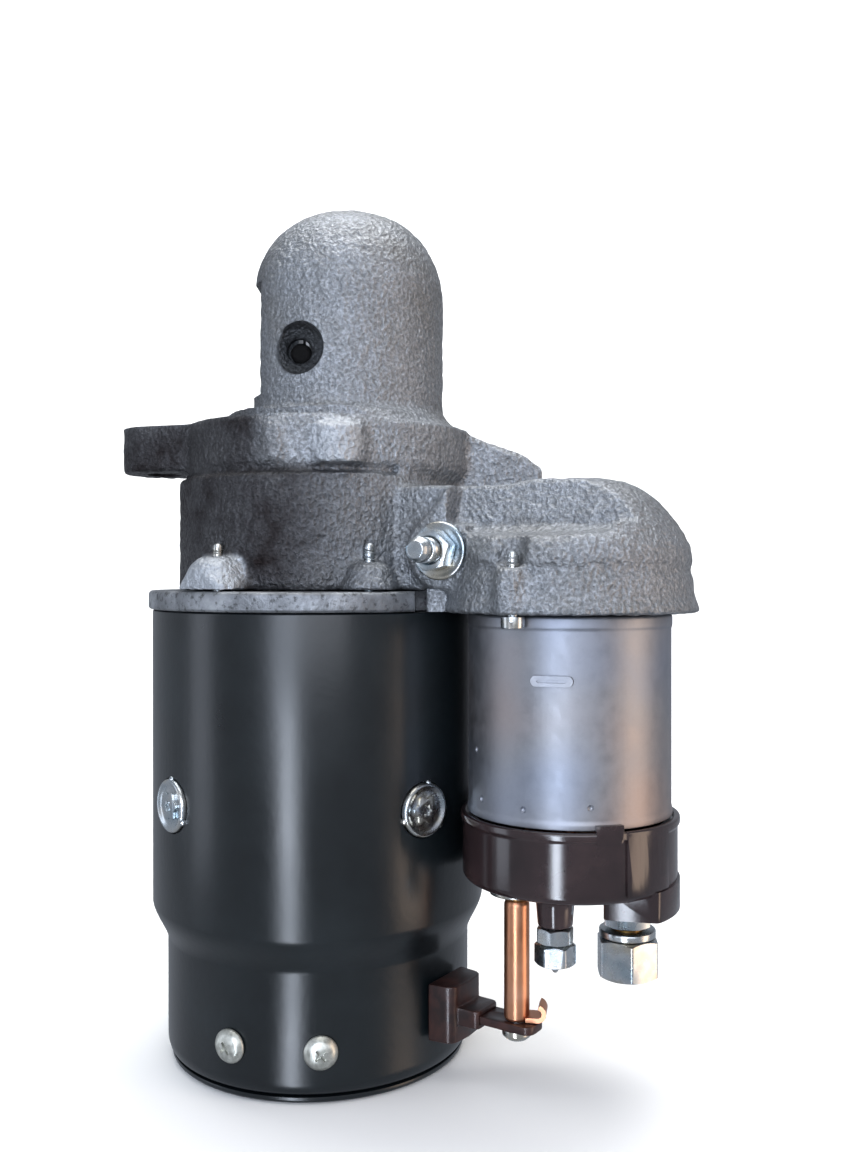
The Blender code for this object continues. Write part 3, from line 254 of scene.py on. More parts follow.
def makeSteel():
    # turned tool steel, slightly oiled
    material, tree, shader, place = startMaterial("turnedSteel", Metallic=1.0)
    rings = roughNoise(tree, place, 900, 2, 0.5, (0.02, 0.02, 1.0))
    cloud = roughNoise(tree, place, 60, 3, 0.5)
    base = setRamp(addNode(tree, "ShaderNodeValToRGB", {0: cloud}),
                   [(0.35, "#8b8a88"), (0.65, "#a5a5a6")])
    tree.links.new(base.outputs[0], shader.inputs["Base Color"])
    tree.links.new(stretchRange(tree, cloud, 0.25, 0.38), shader.inputs["Roughness"])
    addBump(tree, shader, [(rings, 0.25, 0.0001)])
    return material


def makeCopper():
    # drawn copper bar, clean, with fine lines along it
    material, tree, shader, place = startMaterial("brightCopper", Metallic=1.0)
    lines = roughNoise(tree, place, 1500, 2, 0.5, (1.0, 1.0, 0.03))
    cloud = roughNoise(tree, place, 90, 3, 0.6)
    base = setRamp(addNode(tree, "ShaderNodeValToRGB", {0: cloud}),
                   [(0.30, "#cf8f6c"), (0.50, "#d89b79"), (0.75, "#e0a98a")])
    tree.links.new(base.outputs[0], shader.inputs["Base Color"])
    tree.links.new(stretchRange(tree, cloud, 0.36, 0.44), shader.inputs["Roughness"])
    addBump(tree, shader, [(lines, 0.1, 0.0001)])
    return material


def makeWinding():
    # enamelled copper wire under varnish: wires lie 1.2 mm apart
    material, tree, shader, place = startMaterial("varnishedWinding", Metallic=0.45, Roughness=0.35)
    wires = addNode(tree, "ShaderNodeTexWave", {"Vector": place, "Scale": 260.0, "Distortion": 1.0},
                    bands_direction="Z")
    base = setRamp(addNode(tree, "ShaderNodeValToRGB", {0: wires.outputs["Fac"]}),
                   [(0.2, "#4a1d0d"), (0.8, "#a4562c")])
    tree.links.new(base.outputs[0], shader.inputs["Base Color"])
    addBump(tree, shader, [(wires.outputs["Fac"], 0.8, 0.0005)])
    return material


def makePhenolic():
    # moulded phenolic, almost black with a brown cast, glossy where it left the die
    material, tree, shader, place = startMaterial("mouldedPhenolic", Metallic=0.0, IOR=1.55)
    cloud = roughNoise(tree, place, 45, 4, 0.6)
    fine = roughNoise(tree, place, 900, 3, 0.6)
    base = setRamp(addNode(tree, "ShaderNodeValToRGB", {0: cloud}),
                   [(0.3, "#1d1516"), (0.55, "#291e1f"), (0.8, "#382a2a")])
    tree.links.new(base.outputs[0], shader.inputs["Base Color"])
    tree.links.new(stretchRange(tree, cloud, 0.13, 0.20), shader.inputs["Roughness"])
    addBump(tree, shader, [(fine, 0.06, 0.0001), (cloud, 0.08, 0.0004)])
    return material


def makeBronze():
    # oil-filled sintered bronze, fine pores
    material, tree, shader, place = startMaterial("sinteredBronze", Metallic=1.0)
    pores = roughNoise(tree, place, 1800, 3, 0.7)
    base = setRamp(addNode(tree, "ShaderNodeValToRGB", {0: pores}), [(0.35, "#6d4a1e"), (0.6, "#b08648")])
    tree.links.new(base.outputs[0], shader.inputs["Base Color"])
    tree.links.new(stretchRange(tree, pores, 0.35, 0.5), shader.inputs["Roughness"])
    addBump(tree, shader, [(pores, 0.3, 0.0001)])
    return material


def makeCarbon():
    # copper-carbon brush, matte with coppery flecks
    material, tree, shader, place = startMaterial("copperCarbon", Metallic=0.2)
    flecks = roughNoise(tree, place, 1600, 3, 0.7)
    base = setRamp(addNode(tree, "ShaderNodeValToRGB", {0: flecks}),
                   [(0.45, "#1c1a19"), (0.65, "#5b3a2a")])
    tree.links.new(base.outputs[0], shader.inputs["Base Color"])
    tree.links.new(stretchRange(tree, flecks, 0.75, 0.5), shader.inputs["Roughness"])
    addBump(tree, shader, [(flecks, 0.3, 0.0001)])
    return material


def makeDullCopper():
    # brass-coloured terminal studs with a dull oxide
    material, tree, shader, place = startMaterial("oxidisedCopperStud", Metallic=1.0)
    cloud = roughNoise(tree, place, 200, 4, 0.6)
    base = setRamp(addNode(tree, "ShaderNodeValToRGB", {0: cloud}),
                   [(0.35, "#7c5a34"), (0.65, "#b89458")])
    tree.links.new(base.outputs[0], shader.inputs["Base Color"])
    tree.links.new(stretchRange(tree, cloud, 0.30, 0.45), shader.inputs["Roughness"])
    addBump(tree, shader, [(cloud, 0.2, 0.0002)])
    return material


def makeLacqueredCopper():
    # copper strap under dark red-brown insulating lacquer
    material, tree, shader, place = startMaterial("lacqueredCopper", Metallic=0.3, Coat_Weight=0.4,
                                                  Coat_Roughness=0.25)
    cloud = roughNoise(tree, place, 160, 4, 0.6)
    base = setRamp(addNode(tree, "ShaderNodeValToRGB", {0: cloud}),
                   [(0.35, "#1d0e0d"), (0.65, "#3d201a")])
    tree.links.new(base.outputs[0], shader.inputs["Base Color"])
    tree.links.new(stretchRange(tree, cloud, 0.35, 0.5), shader.inputs["Roughness"])
    addBump(tree, shader, [(cloud, 0.3, 0.0003)])
    return material


def makePortShadeFelt():
    # nearly black, matte felt with short fibres: painted shade that makes the oil port's deep hole read dark
    material, tree, shader, place = startMaterial("paintedShadeFelt", Metallic=0.0, Specular_IOR_Level=0.2)
    fibres = roughNoise(tree, place, 1500, 4, 0.7, (1.0, 0.3, 1.0))
    base = setRamp(addNode(tree, "ShaderNodeValToRGB", {0: fibres}),
                   [(0.35, "#050505"), (0.65, "#141313")])
    tree.links.new(base.outputs[0], shader.inputs["Base Color"])
    tree.links.new(stretchRange(tree, fibres, 0.75, 0.95), shader.inputs["Roughness"])
    addBump(tree, shader, [(fibres, 0.5, 0.0003)])
    return material


def makeDullZinc():
    # older zinc plate with a pale bloom
    material, tree, shader, place = startMaterial("bloomedZincPlate", Metallic=0.85)
    spots = roughNoise(tree, place, 500, 4, 0.65)
    base = setRamp(addNode(tree, "ShaderNodeValToRGB", {0: spots}),
                   [(0.35, "#a3a49c"), (0.65, "#cfd0c8")])
    tree.links.new(base.outputs[0], shader.inputs["Base Color"])
    tree.links.new(stretchRange(tree, spots, 0.32, 0.48), shader.inputs["Roughness"])
    addBump(tree, shader, [(spots, 0.3, 0.0002)])
    return material


castIron = makeCastIron()
machinedIron = makeMachinedIron()
blackPaint = makeBlackPaint()
zinc = makeZinc()
canZinc = makeCanZinc()
steel = makeSteel()
copper = makeCopper()
winding = makeWinding()
phenolic = makePhenolic()
bronze = makeBronze()
carbon = makeCarbon()
copperDull = makeDullCopper()
lacqueredCopper = makeLacqueredCopper()
zincDull = makeDullZinc()
portShadeFelt = makePortShadeFelt()
print("materials made")


# mesh helpers

def finishMesh(name, bm, material, sharpAngle=32):
    # a bmesh in world metres becomes an object at the origin
    bmesh.ops.recalc_face_normals(bm, faces=bm.faces[:])
    mesh = bpy.data.meshes.new(name)
    bm.to_mesh(mesh)
    bm.free()
    mesh.shade_smooth()
    mesh.set_sharp_from_angle(angle=math.radians(sharpAngle))
    mesh.materials.append(material)
    piece = bpy.data.objects.new(name, mesh)
    bpy.context.scene.collection.objects.link(piece)
    return piece


def softCorners(outline, steps=4):
    # rounds an outline's corners; each point is (radius, height, fillet)
    points = []
    count = len(outline)
    for i, (x, y, fillet) in enumerate(outline):
        corner = Vector((x, y))
        before = Vector(outline[i - 1][:2]) - corner
        after = Vector(outline[(i + 1) % count][:2]) - corner
        if fillet <= 0 or before.length < 1e-7 or after.length < 1e-7:
            points.append((x, y))
            continue
        reach = min(fillet, before.length * 0.45, after.length * 0.45)
        start = corner + before.normalized() * reach
        end = corner + after.normalized() * reach
        for step in range(steps + 1):
            t = step / steps
            point = start * (1 - t) ** 2 + corner * 2 * t * (1 - t) + end * t * t
            points.append((point.x, point.y))
    return points


def lathe(profile, sides=128):
    # turns a closed outline of (radius, height) about Z
    bm = bmesh.new()
    rings = []
    for radius, height in profile:
        count = sides if radius > 1e-7 else 1
        turns = [2 * math.pi * i / count for i in range(count)]
        rings.append([bm.verts.new((radius * math.cos(a), radius * math.sin(a), height)) for a in turns])
    for ring, after in zip(rings, rings[1:] + rings[:1]):
        if len(ring) == 1 and len(after) == 1:
            continue
        for i in range(sides):
            pairs = [(ring, i), (ring, i + 1), (after, i + 1), (after, i)]
            bm.faces.new(list(dict.fromkeys(loop[index % len(loop)] for loop, index in pairs)))
    return bm


def softLathe(outline, sides=128, steps=4):
    return lathe(softCorners(outline, steps), sides)


def solidLathe(radius, low, high, sides=64):
    return lathe([(0, low), (radius, low), (radius, high), (0, high)], sides)


def prism(outline, low, high):
    bm = bmesh.new()
    lower = [bm.verts.new((x, y, low)) for x, y in outline]
    upper = [bm.verts.new((x, y, high)) for x, y in outline]
    bm.faces.new(lower)
    bm.faces.new(upper)
    for i in range(len(outline)):
        j = (i + 1) % len(outline)
        bm.faces.new((lower[i], lower[j], upper[j], upper[i]))
    return bm


def boxMesh(xSpan, ySpan, zSpan):
    (x0, x1), (y0, y1) = xSpan, ySpan
    return prism([(x0, y0), (x1, y0), (x1, y1), (x0, y1)], *zSpan)


def arcPoints(radius, start, end, steps, centre=(0, 0)):
    turns = [start + (end - start) * i / steps for i in range(steps + 1)]
    return [(centre[0] + radius * math.cos(a), centre[1] + radius * math.sin(a)) for a in turns]


def moved(bm, matrix):
    bmesh.ops.transform(bm, matrix=matrix, verts=bm.verts[:])
    return bm


def joined(shapes):
    whole = bmesh.new()
    for shape in shapes:
        bmesh.ops.recalc_face_normals(shape, faces=shape.faces[:])
        mesh = bpy.data.meshes.new("loose")
        shape.to_mesh(mesh)
        shape.free()
        whole.from_mesh(mesh)
        bpy.data.meshes.remove(mesh)
    return whole


def spin(angle):
    return Matrix.Rotation(angle, 4, "Z")


def shift(x, y, z=0.0):
    return Matrix.Translation((x, y, z))


def outwards(angle, height):
    # lays +Z along the radius at this angle
    return shift(0, 0, height) @ spin(angle) @ Matrix.Rotation(math.radians(90), 4, "Y")


towardsFront = Matrix.Rotation(math.radians(90), 4, "X")  # lays +Z along -Y


def applyModifiers(piece):
    graph = bpy.context.evaluated_depsgraph_get()
    mesh = bpy.data.meshes.new_from_object(piece.evaluated_get(graph))
    old = piece.data
    piece.modifiers.clear()
    piece.data = mesh
    bpy.data.meshes.remove(old)
    return piece


def booleanWith(piece, shapes, operation="DIFFERENCE"):
    # cuts or adds shapes one after another, then removes them
    for shape in shapes:
        bmesh.ops.recalc_face_normals(shape, faces=shape.faces[:])
        mesh = bpy.data.meshes.new("tool")
        shape.to_mesh(mesh)
        shape.free()
        tool = bpy.data.objects.new("tool", mesh)
        bpy.context.scene.collection.objects.link(tool)
        modifier = piece.modifiers.new("cut", "BOOLEAN")
        modifier.operation = operation
        modifier.solver = "MANIFOLD"
        modifier.object = tool
        applyModifiers(piece)
        bpy.data.objects.remove(tool)
        bpy.data.meshes.remove(mesh)
    return piece


def bevelEdges(piece, width, segments=2, angle=30):
    modifier = piece.modifiers.new("bevel", "BEVEL")
    modifier.width = width
    modifier.segments = segments
    modifier.limit_method = "ANGLE"
    modifier.angle_limit = math.radians(angle)
    modifier.harden_normals = False
    return applyModifiers(piece)


def smoothShade(piece, angle=32):
    piece.data.shade_smooth()
    piece.data.set_sharp_from_angle(angle=math.radians(angle))
    return piece


# geometry node trees

def startTree(name, sockets):
    tree = bpy.data.node_groups.new(name, "GeometryNodeTree")
    tree.interface.new_socket("Geometry", in_out="INPUT", socket_type="NodeSocketGeometry")
    for label, kind in sockets:
        tree.interface.new_socket(label, in_out="INPUT", socket_type="NodeSocket" + kind)
    tree.interface.new_socket("Geometry", in_out="OUTPUT", socket_type="NodeSocketGeometry")
    return tree, addNode(tree, "NodeGroupInput").outputs


def endTree(tree, geometry, material):
    # realizes, sets the finish and joins the output
    real = addNode(tree, "GeometryNodeRealizeInstances", {"Geometry": geometry})
    finish = addNode(tree, "GeometryNodeSetMaterial", {"Geometry": real.outputs[0], "Material": material})
    addNode(tree, "NodeGroupOutput", {"Geometry": finish.outputs[0]})
    return tree


def makeRingTree():
    # repeats the incoming piece in a ring about Z; Tilt 90 degrees lays its own +Z outwards
    tree, given = startTree("ringOfCopies",
                            [("Count", "Int"), ("Start Angle", "Float"), ("Radius", "Float"),
                                             ("Height", "Float"), ("Tilt", "Float"), ("Spin Spread", "Float"),
                                             ("Seed", "Int"), ("Finish", "Material")])
    points = addNode(tree, "GeometryNodePoints", {"Count": given["Count"]})
    index = addNode(tree, "GeometryNodeInputIndex")
    share = addNode(tree, "ShaderNodeMath", {0: index.outputs[0], 1: given["Count"]}, operation="DIVIDE")
    angle = addNode(tree, "ShaderNodeMath",
                    {0: share.outputs[0], 1: 2 * math.pi, 2: given["Start Angle"]},
                    operation="MULTIPLY_ADD")
    across = addNode(tree, "ShaderNodeMath", {0: angle.outputs[0]}, operation="COSINE")
    along = addNode(tree, "ShaderNodeMath", {0: angle.outputs[0]}, operation="SINE")
    x = addNode(tree, "ShaderNodeMath", {0: across.outputs[0], 1: given["Radius"]}, operation="MULTIPLY")
    y = addNode(tree, "ShaderNodeMath", {0: along.outputs[0], 1: given["Radius"]}, operation="MULTIPLY")
    spot = addNode(tree, "ShaderNodeCombineXYZ", {0: x.outputs[0], 1: y.outputs[0], 2: given["Height"]})
    placed = addNode(tree, "GeometryNodeSetPosition",
                     {"Geometry": points.outputs[0], "Position": spot.outputs[0]})
    turn = addNode(tree, "ShaderNodeCombineXYZ", {1: given["Tilt"], 2: angle.outputs[0]})
    copies = addNode(tree, "GeometryNodeInstanceOnPoints", {"Points": placed.outputs[0],
                                                            "Instance": given["Geometry"], "Rotation": turn.outputs[0]})
    chance = addNode(tree, "FunctionNodeRandomValue",
                     {2: 0.0, 3: given["Spin Spread"], "Seed": given["Seed"]})
    spinTurn = addNode(tree, "ShaderNodeCombineXYZ", {2: chance.outputs[1]})
    spun = addNode(tree, "GeometryNodeRotateInstances",
                   {"Instances": copies.outputs[0], "Rotation": spinTurn.outputs[0]})
    return endTree(tree, spun.outputs[0], given["Finish"])


def makeHelixTree():
    # adds a helix of wire about Z to the incoming piece: a screw thread or a coil spring
    tree, given = startTree("helixOfWire", [("Turns", "Float"), ("Radius", "Float"), ("Low", "Float"),
                                            ("Height", "Float"), ("Wire", "Float"), ("Sides", "Int"),
                                            ("Steps", "Int"), ("Taper", "Float"), ("Finish", "Material")])
    path = addNode(tree, "GeometryNodeCurveSpiral",
                   {"Resolution": given["Steps"], "Rotations": given["Turns"],
                                                     "Start Radius": given["Radius"], "End Radius": given["Radius"],
                                                     "Height": given["Height"]})
    share = addNode(tree, "GeometryNodeSplineParameter").outputs[0]
    rise = addNode(tree, "ShaderNodeMapRange", {"Value": share, "From Max": given["Taper"]})
    fall = addNode(tree, "ShaderNodeMapRange",
                   {"Value": addNode(tree, "ShaderNodeMath", {0: 1.0, 1: share},
                                                                 operation="SUBTRACT").outputs[0],
                                                "From Max": given["Taper"]})
    thin = addNode(tree, "ShaderNodeMath", {0: rise.outputs[0], 1: fall.outputs[0]}, operation="MINIMUM")
    kept = addNode(tree, "ShaderNodeMath", {0: thin.outputs[0], 1: 0.25}, operation="MAXIMUM")
    section = addNode(tree, "GeometryNodeCurvePrimitiveCircle",
                      {"Resolution": given["Sides"], "Radius": given["Wire"]})
    wire = addNode(tree, "GeometryNodeCurveToMesh",
                   {"Curve": path.outputs[0], "Profile Curve": section.outputs[0],
                                                     "Scale": kept.outputs[0], "Fill Caps": True})
    lift = addNode(tree, "ShaderNodeCombineXYZ", {2: given["Low"]})
    raised = addNode(tree, "GeometryNodeTransform",
                     {"Geometry": wire.outputs[0], "Translation": lift.outputs[0]})
    both = addNode(tree, "GeometryNodeJoinGeometry")
    tree.links.new(given["Geometry"], both.inputs[0])
    tree.links.new(raised.outputs[0], both.inputs[0])
    return endTree(tree, both.outputs[0], given["Finish"])


ringTree = makeRingTree()
helixTree = makeHelixTree()


def growFrom(piece, tree, **values):
    # runs a tree on the piece and keeps the result as its plain mesh
    modifier = piece.modifiers.new("grown", "NODES")
    modifier.node_group = tree
    labels = {item.name.replace(" ", ""): item.identifier for item in tree.interface.items_tree
              if item.in_out == "INPUT"}
    for name, value in values.items():
        modifier[labels[name[0].upper() + name[1:]]] = value
    applyModifiers(piece)
    return piece


def settle(piece, body, nodes=(), matrix=None, angle=32):
    # bakes the place into the mesh, then names the body and hides the nodes it stands for
    if matrix:
        piece.data.transform(matrix)
    smoothShade(piece, angle)
    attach(piece, body)
    if nodes:
        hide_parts(*nodes)
    return piece


def hexNut(name, acrossFlats, low, high, bore, material, turn=0.0):
    # a nut with its corners turned off at 30 degrees and the bore's mouth eased
    corner = acrossFlats / math.sqrt(3)
    outline = softCorners([(corner * math.cos(a), corner * math.sin(a), 0.0005)
                           for a in [turn + math.radians(60 * i) for i in range(6)]], 2)
    piece = finishMesh(name, prism(outline, low, high), material)
    ease = (corner - acrossFlats / 2) * 0.62
    inner = acrossFlats / 2 * 0.97
    turned = lathe([(0, low), (inner, low), (corner + 0.0004, low + ease + 0.0003),
                    (corner + 0.0004, high - ease - 0.0003),
                    (inner, high), (0, high)], 72)
    booleanWith(piece, [turned], "INTERSECT")
    mouth = bore * 0.12
    hole = lathe([(0, low - 0.001), (bore + mouth, low - 0.001), (bore + mouth, low), (bore, low + mouth),
                  (bore, high - mouth), (bore + mouth, high), (bore + mouth, high + 0.001), (0, high + 0.001)], 48)
    return booleanWith(piece, [hole])


def threadedPiece(name, outline, radius, low, high, pitch, material, sides=48):
    # a turned piece with a helical thread between two heights
    piece = finishMesh(name, softLathe(outline, sides), material)
    turns = (high - low) / pitch
    return growFrom(piece, helixTree, turns=turns, radius=radius, low=low, height=high - low,
                    wire=pitch * 0.42,
                    sides=4, steps=28, taper=min(0.45, 0.7 / turns), finish=material)


# places read from the frame

def centreOf(node):
    low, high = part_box(node)
    return (low + high) / 2


solenoidAxis = centreOf("solenoid_coil")
solenoidTurn = math.atan2(solenoidAxis.y, solenoidAxis.x)
solenoidPlace = shift(solenoidAxis.x, solenoidAxis.y) @ spin(solenoidTurn)
leverJoint = next(joint for joint in frame["joints"] if joint["name"] == "lever_swing")
pivotPoint = Vector(leverJoint["pos_m"])
pivotPlace = Matrix.Translation(pivotPoint) @ spin(solenoidTurn)


# camera, floor and light

viewSettings = {
    "place": (0.0395, -0.388, 0.1620),
    "roll": 0.0,
    "lens": 34.4,
    "floorColour": "#f4f4f2",
}


def makeCamera():
    data = bpy.data.cameras.new("camera")
    data.lens = viewSettings["lens"]
    data.clip_start = 0.01
    camera = bpy.data.objects.new("camera", data)
    bpy.context.scene.collection.objects.link(camera)
    camera.location = viewSettings["place"]
    camera.rotation_euler = (math.radians(90), math.radians(viewSettings["roll"]), 0)
    bpy.context.scene.camera = camera


def makeFloor():
    # a pale sweep: flat under the motor, curving up behind it
    bm = bmesh.new()
    outline = [(-1.6, 0.0), (0.9, 0.0)] + [(0.9 + 0.5 * math.sin(a), 0.5 - 0.5 * math.cos(a))
                                          for a in [math.radians(9 * i) for i in range(1, 11)]] + [(1.4, 2.4)]
    rows = [[bm.verts.new((x, y, z - 0.0004)) for x in (-2.2, 2.4)] for y, z in outline]
    for a, b in zip(rows, rows[1:]):
        bm.faces.new((a[0], a[1], b[1], b[0]))
    material, tree, shader, place = startMaterial("paleBackdrop", Roughness=0.9, Specular_IOR_Level=0.1)
    shade = roughNoise(tree, place, 3, 2, 0.5)
    ramp = setRamp(addNode(tree, "ShaderNodeValToRGB", {0: shade}), [(0.3, "#f1f1ef"), (0.7, "#f7f7f6")])
    tree.links.new(ramp.outputs[0], shader.inputs["Base Color"])
    mesh = bpy.data.meshes.new("floor")
    bm.to_mesh(mesh)
    bm.free()
    mesh.shade_smooth()
    mesh.materials.append(material)
    floor = bpy.data.objects.new("floor", mesh)
    bpy.context.scene.collection.objects.link(floor)
    floor.visible_glossy = False


lightRows = [  # name, place, aimed at, width, height, watts, colour
    ("topSoft", (0.05, -0.15, 1.25), (0.03, 0.0, 0.0), 0.90, 0.90, 6.5, "#ffffff"),
    ("windowStrip", (-0.30, -0.96, 0.32), (0.03, 0.0, 0.17), 0.26, 0.70, 4.0, "#e2edff"),
    ("roomFront", (0.12, -1.40, 0.55), (0.03, 0.0, 0.17), 1.00, 0.80, 9.0, "#eef3ff"),
    ("rightStrip", (0.95, -0.38, 0.10), (0.05, 0.0, 0.10), 0.36, 1.10, 4.4, "#ffe0c4"),
    ("leftStrip", (-0.98, -0.22, 0.15), (0.0, 0.0, 0.15), 0.30, 0.90, 1.8, "#e8f0ff"),
    ("lowerStrip", (-0.25, -0.96, -0.42), (0.03, 0.0, -0.42), 0.15, 0.90, 10.0, "#e6f0ff"),
    ("backdropWash", (0.05, 0.25, 1.35), (0.05, 1.35, 0.55), 1.20, 0.60, 26.0, "#ffffff"),
]


def makeLights():
    for name, place, aim, width, height, watts, colour in lightRows:
        data = bpy.data.lights.new(name, "AREA")
        data.shape = "RECTANGLE"
        data.size = width
        data.size_y = height
        data.energy = watts
        data.color = hexColour(colour)[:3]
        light = bpy.data.objects.new(name, data)
        bpy.context.scene.collection.objects.link(light)
        light.location = place
        light.rotation_euler = (Vector(aim) - Vector(place)).to_track_quat("-Z", "Y").to_euler()
        light.visible_camera = False
    # a dim room for the reflections, white where the lens looks past the sweep
    world = bpy.data.worlds.new("studio")
    world.use_nodes = True
    tree = world.node_tree
    background = tree.nodes["Background"]
    seen = addNode(tree, "ShaderNodeLightPath").outputs["Is Camera Ray"]
    tone = mixColour(tree, seen, hexColour("#a2a8b2"), hexColour("#f6f6f6"))
    tree.links.new(tone, background.inputs["Color"])
    bpy.context.scene.world = world


bpy.context.scene.view_settings.view_transform = "Standard"
makeCamera()
makeFloor()
makeLights()
print("camera, floor and light made")


# the drive end housing: one iron casting

casting = {
    "bodyRadius": 0.0482, "bodyLow": 0.1575, "flangeLow": 0.1974, "flangeHigh": 0.2129, "discRadius": 0.0462,
    "noseX": 0.0103, "noseRadius": 0.0331, "noseShoulder": 0.2560, "noseTop": 0.2885, "noseSquareness": 2.25,
    "earReach": 0.0540, "earRadius": 0.0148, "earTurns": (180, 60), "earHole": 0.0065,
    "hoodBore": 0.0290, "hoodCeiling": 0.1875, "bodyBore": 0.0415, "noseBore": 0.0225,
    "studTurns": (-125, -66), "studReach": 0.0490,
    "bridgeHalf": 0.0255, "bridgeHigh": 0.1905, "bridgeStart": -0.0600,
    "voxel": 0.00095, "grain": 0.00030, "swell": 0.00025,
}


def noseShape():
    c = casting
    power = 2 / c["noseSquareness"]
    rise = c["noseTop"] - c["noseShoulder"]
    rounds = [(c["noseRadius"] * math.cos(a) ** power, c["noseShoulder"] + rise * math.sin(a) ** power)
              for a in [math.radians(90 * i / 20) for i in range(20)]]
    skirt = [(0, c["flangeLow"] + 0.004), (c["noseRadius"], c["flangeLow"] + 0.004),
             (c["noseRadius"], 0.2300)]
    return moved(lathe(skirt + rounds + [(0, c["noseTop"])], 96), shift(c["noseX"], 0))


def noseFillet():
    # the sweep from the nose down to the flange, on the solenoid side and behind
    c = casting
    r = c["noseRadius"]
    sweep = [(r - 0.001 + 0.0105 * (1 - math.sin(a)),
              c["flangeHigh"] - 0.001 + 0.0125 * (1 - math.cos(a)))
             for a in [math.radians(10 * i) for i in range(10)]]
    outline = [(0, 0.1880), (r + 0.0030, 0.1880), (r + 0.0095, c["flangeLow"])] + sweep + [(0, 0.2245)]
    return moved(lathe(outline, 96), shift(c["noseX"], 0))


def earShape(turn):
    c = casting
    outline = arcPoints(c["earRadius"], math.radians(-62), math.radians(62), 10, (c["earReach"], 0))
    outline += [(0.0300, 0.0225), (0.0150, 0.0360), (0.0150, -0.0360), (0.0300, -0.0225)]
    return moved(prism(outline, c["flangeLow"], c["flangeHigh"] + 0.0040), spin(math.radians(turn)))


def hoodShape():
    # the solenoid's cover: a flared lip, a crease above it, a step, then a dome
    outline = [(0, 0.1506), (0.0402, 0.1506), (0.0402, 0.1530), (0.0388, 0.1552), (0.0384, 0.1618),
               (0.0372, 0.1634),
               (0.0372, 0.1646), (0.0384, 0.1662), (0.0376, 0.1712), (0.0352, 0.1756), (0.0332, 0.1790), (0.0314, 0.1812),
               (0.0280, 0.1852), (0.0238, 0.1884), (0.0190, 0.1908), (0.0150, 0.1919), (0, 0.1920)]
    return moved(lathe(outline, 96), solenoidPlace)


def castShapes():
    # every boss and wall of the casting as a solid, overlapping its neighbours
    c = casting
    base = [(0, c["bodyLow"], 0), (c["bodyRadius"], c["bodyLow"], 0),
            (c["bodyRadius"], c["flangeLow"] - 0.0024, 0.001),
            (c["discRadius"] - 0.0012, c["flangeLow"] - 0.0010, 0.001), (c["discRadius"],
                                                                         c["flangeLow"] + 0.0008, 0.001),
            (c["discRadius"], c["flangeHigh"] - 0.0015, 0.001), (c["discRadius"] - 0.002,
                                                                 c["flangeHigh"] + 0.003, 0),
            (0, c["flangeHigh"] + 0.003, 0)]
    shapes = [softLathe(base, 96), noseShape(), noseFillet(), hoodShape()]
    shapes += [earShape(turn) for turn in c["earTurns"]]
    # two pads on the flange's front, the wide one with a small ledge under it
    shapes.append(moved(solidLathe(0.0104, 0.1960, 0.2098, 48), shift(0.0097, -0.0388)))
    shapes.append(moved(solidLathe(0.0056, 0.1982, 0.2098, 32), shift(-0.0092, -0.0412)))
    shapes.append(boxMesh((0.0090, 0.0145), (-0.0478, -0.0300), (0.1935, 0.1965)))
    for turn, low, top, high in ((c["studTurns"][0], 0.0130, 0.0066, 0.1682),
                                 (c["studTurns"][1], 0.0098, 0.0058, 0.1664)):
        boss = lathe([(0, c["bodyLow"]), (low, c["bodyLow"]), (top + 0.0012, high - 0.0016),
                      (top - 0.0010, high), (0, high)], 48)
        shapes.append(moved(boss, spin(math.radians(turn)) @ shift(c["studReach"], 0)))
    # the bridge between the body and the hood, with the same step as the hood
    half = c["bridgeHalf"]
    shapes.append(moved(boxMesh((c["bridgeStart"], 0.0120), (-half + 0.0022, half - 0.0022),
                                (c["bodyLow"], c["bridgeHigh"])),
                        solenoidPlace))
    step = [(-0.0240, -0.0300), (0.0060, -0.0345), (0.0060, 0.0345), (-0.0240, 0.0300)]
    shapes.append(moved(prism(step, c["bodyLow"], 0.1745), solenoidPlace))
    for node in ("solenoid_screw_1", "solenoid_screw_2"):
        centre = centreOf(node)
        outward = (centre - solenoidAxis).xy.normalized() * 0.0010
        boss = lathe([(0, 0.1506), (0.0054, 0.1506), (0.0052, 0.1600), (0.0044, 0.1644), (0, 0.1650)], 32)
        shapes.append(moved(boss, shift(centre.x + outward.x, centre.y + outward.y)))
    slope = [(0.0300, 0.1860), (0.0775, 0.1860), (0.0775, 0.1990), (0.0700, 0.2040), (0.0520, 0.2105),
             (0.0300, 0.2125)]
    shapes.append(moved(prism(slope, -0.0300, 0.0120), towardsFront))
    # pivot boss: a round seat with a web that runs up to a point
    face = half + 0.0020
    shapes.append(moved(solidLathe(0.0122, -face, face, 48), pivotPlace @ towardsFront))
    web = [(-0.0118, -0.0030), (0.0118, -0.0030), (0.0092, 0.0066), (0.0056, 0.0206), (0.0030, 0.0214),
           (-0.0108, 0.0046)]
    shapes.append(moved(prism(web, -face + 0.0004, face - 0.0004), pivotPlace @ towardsFront))
    return shapes


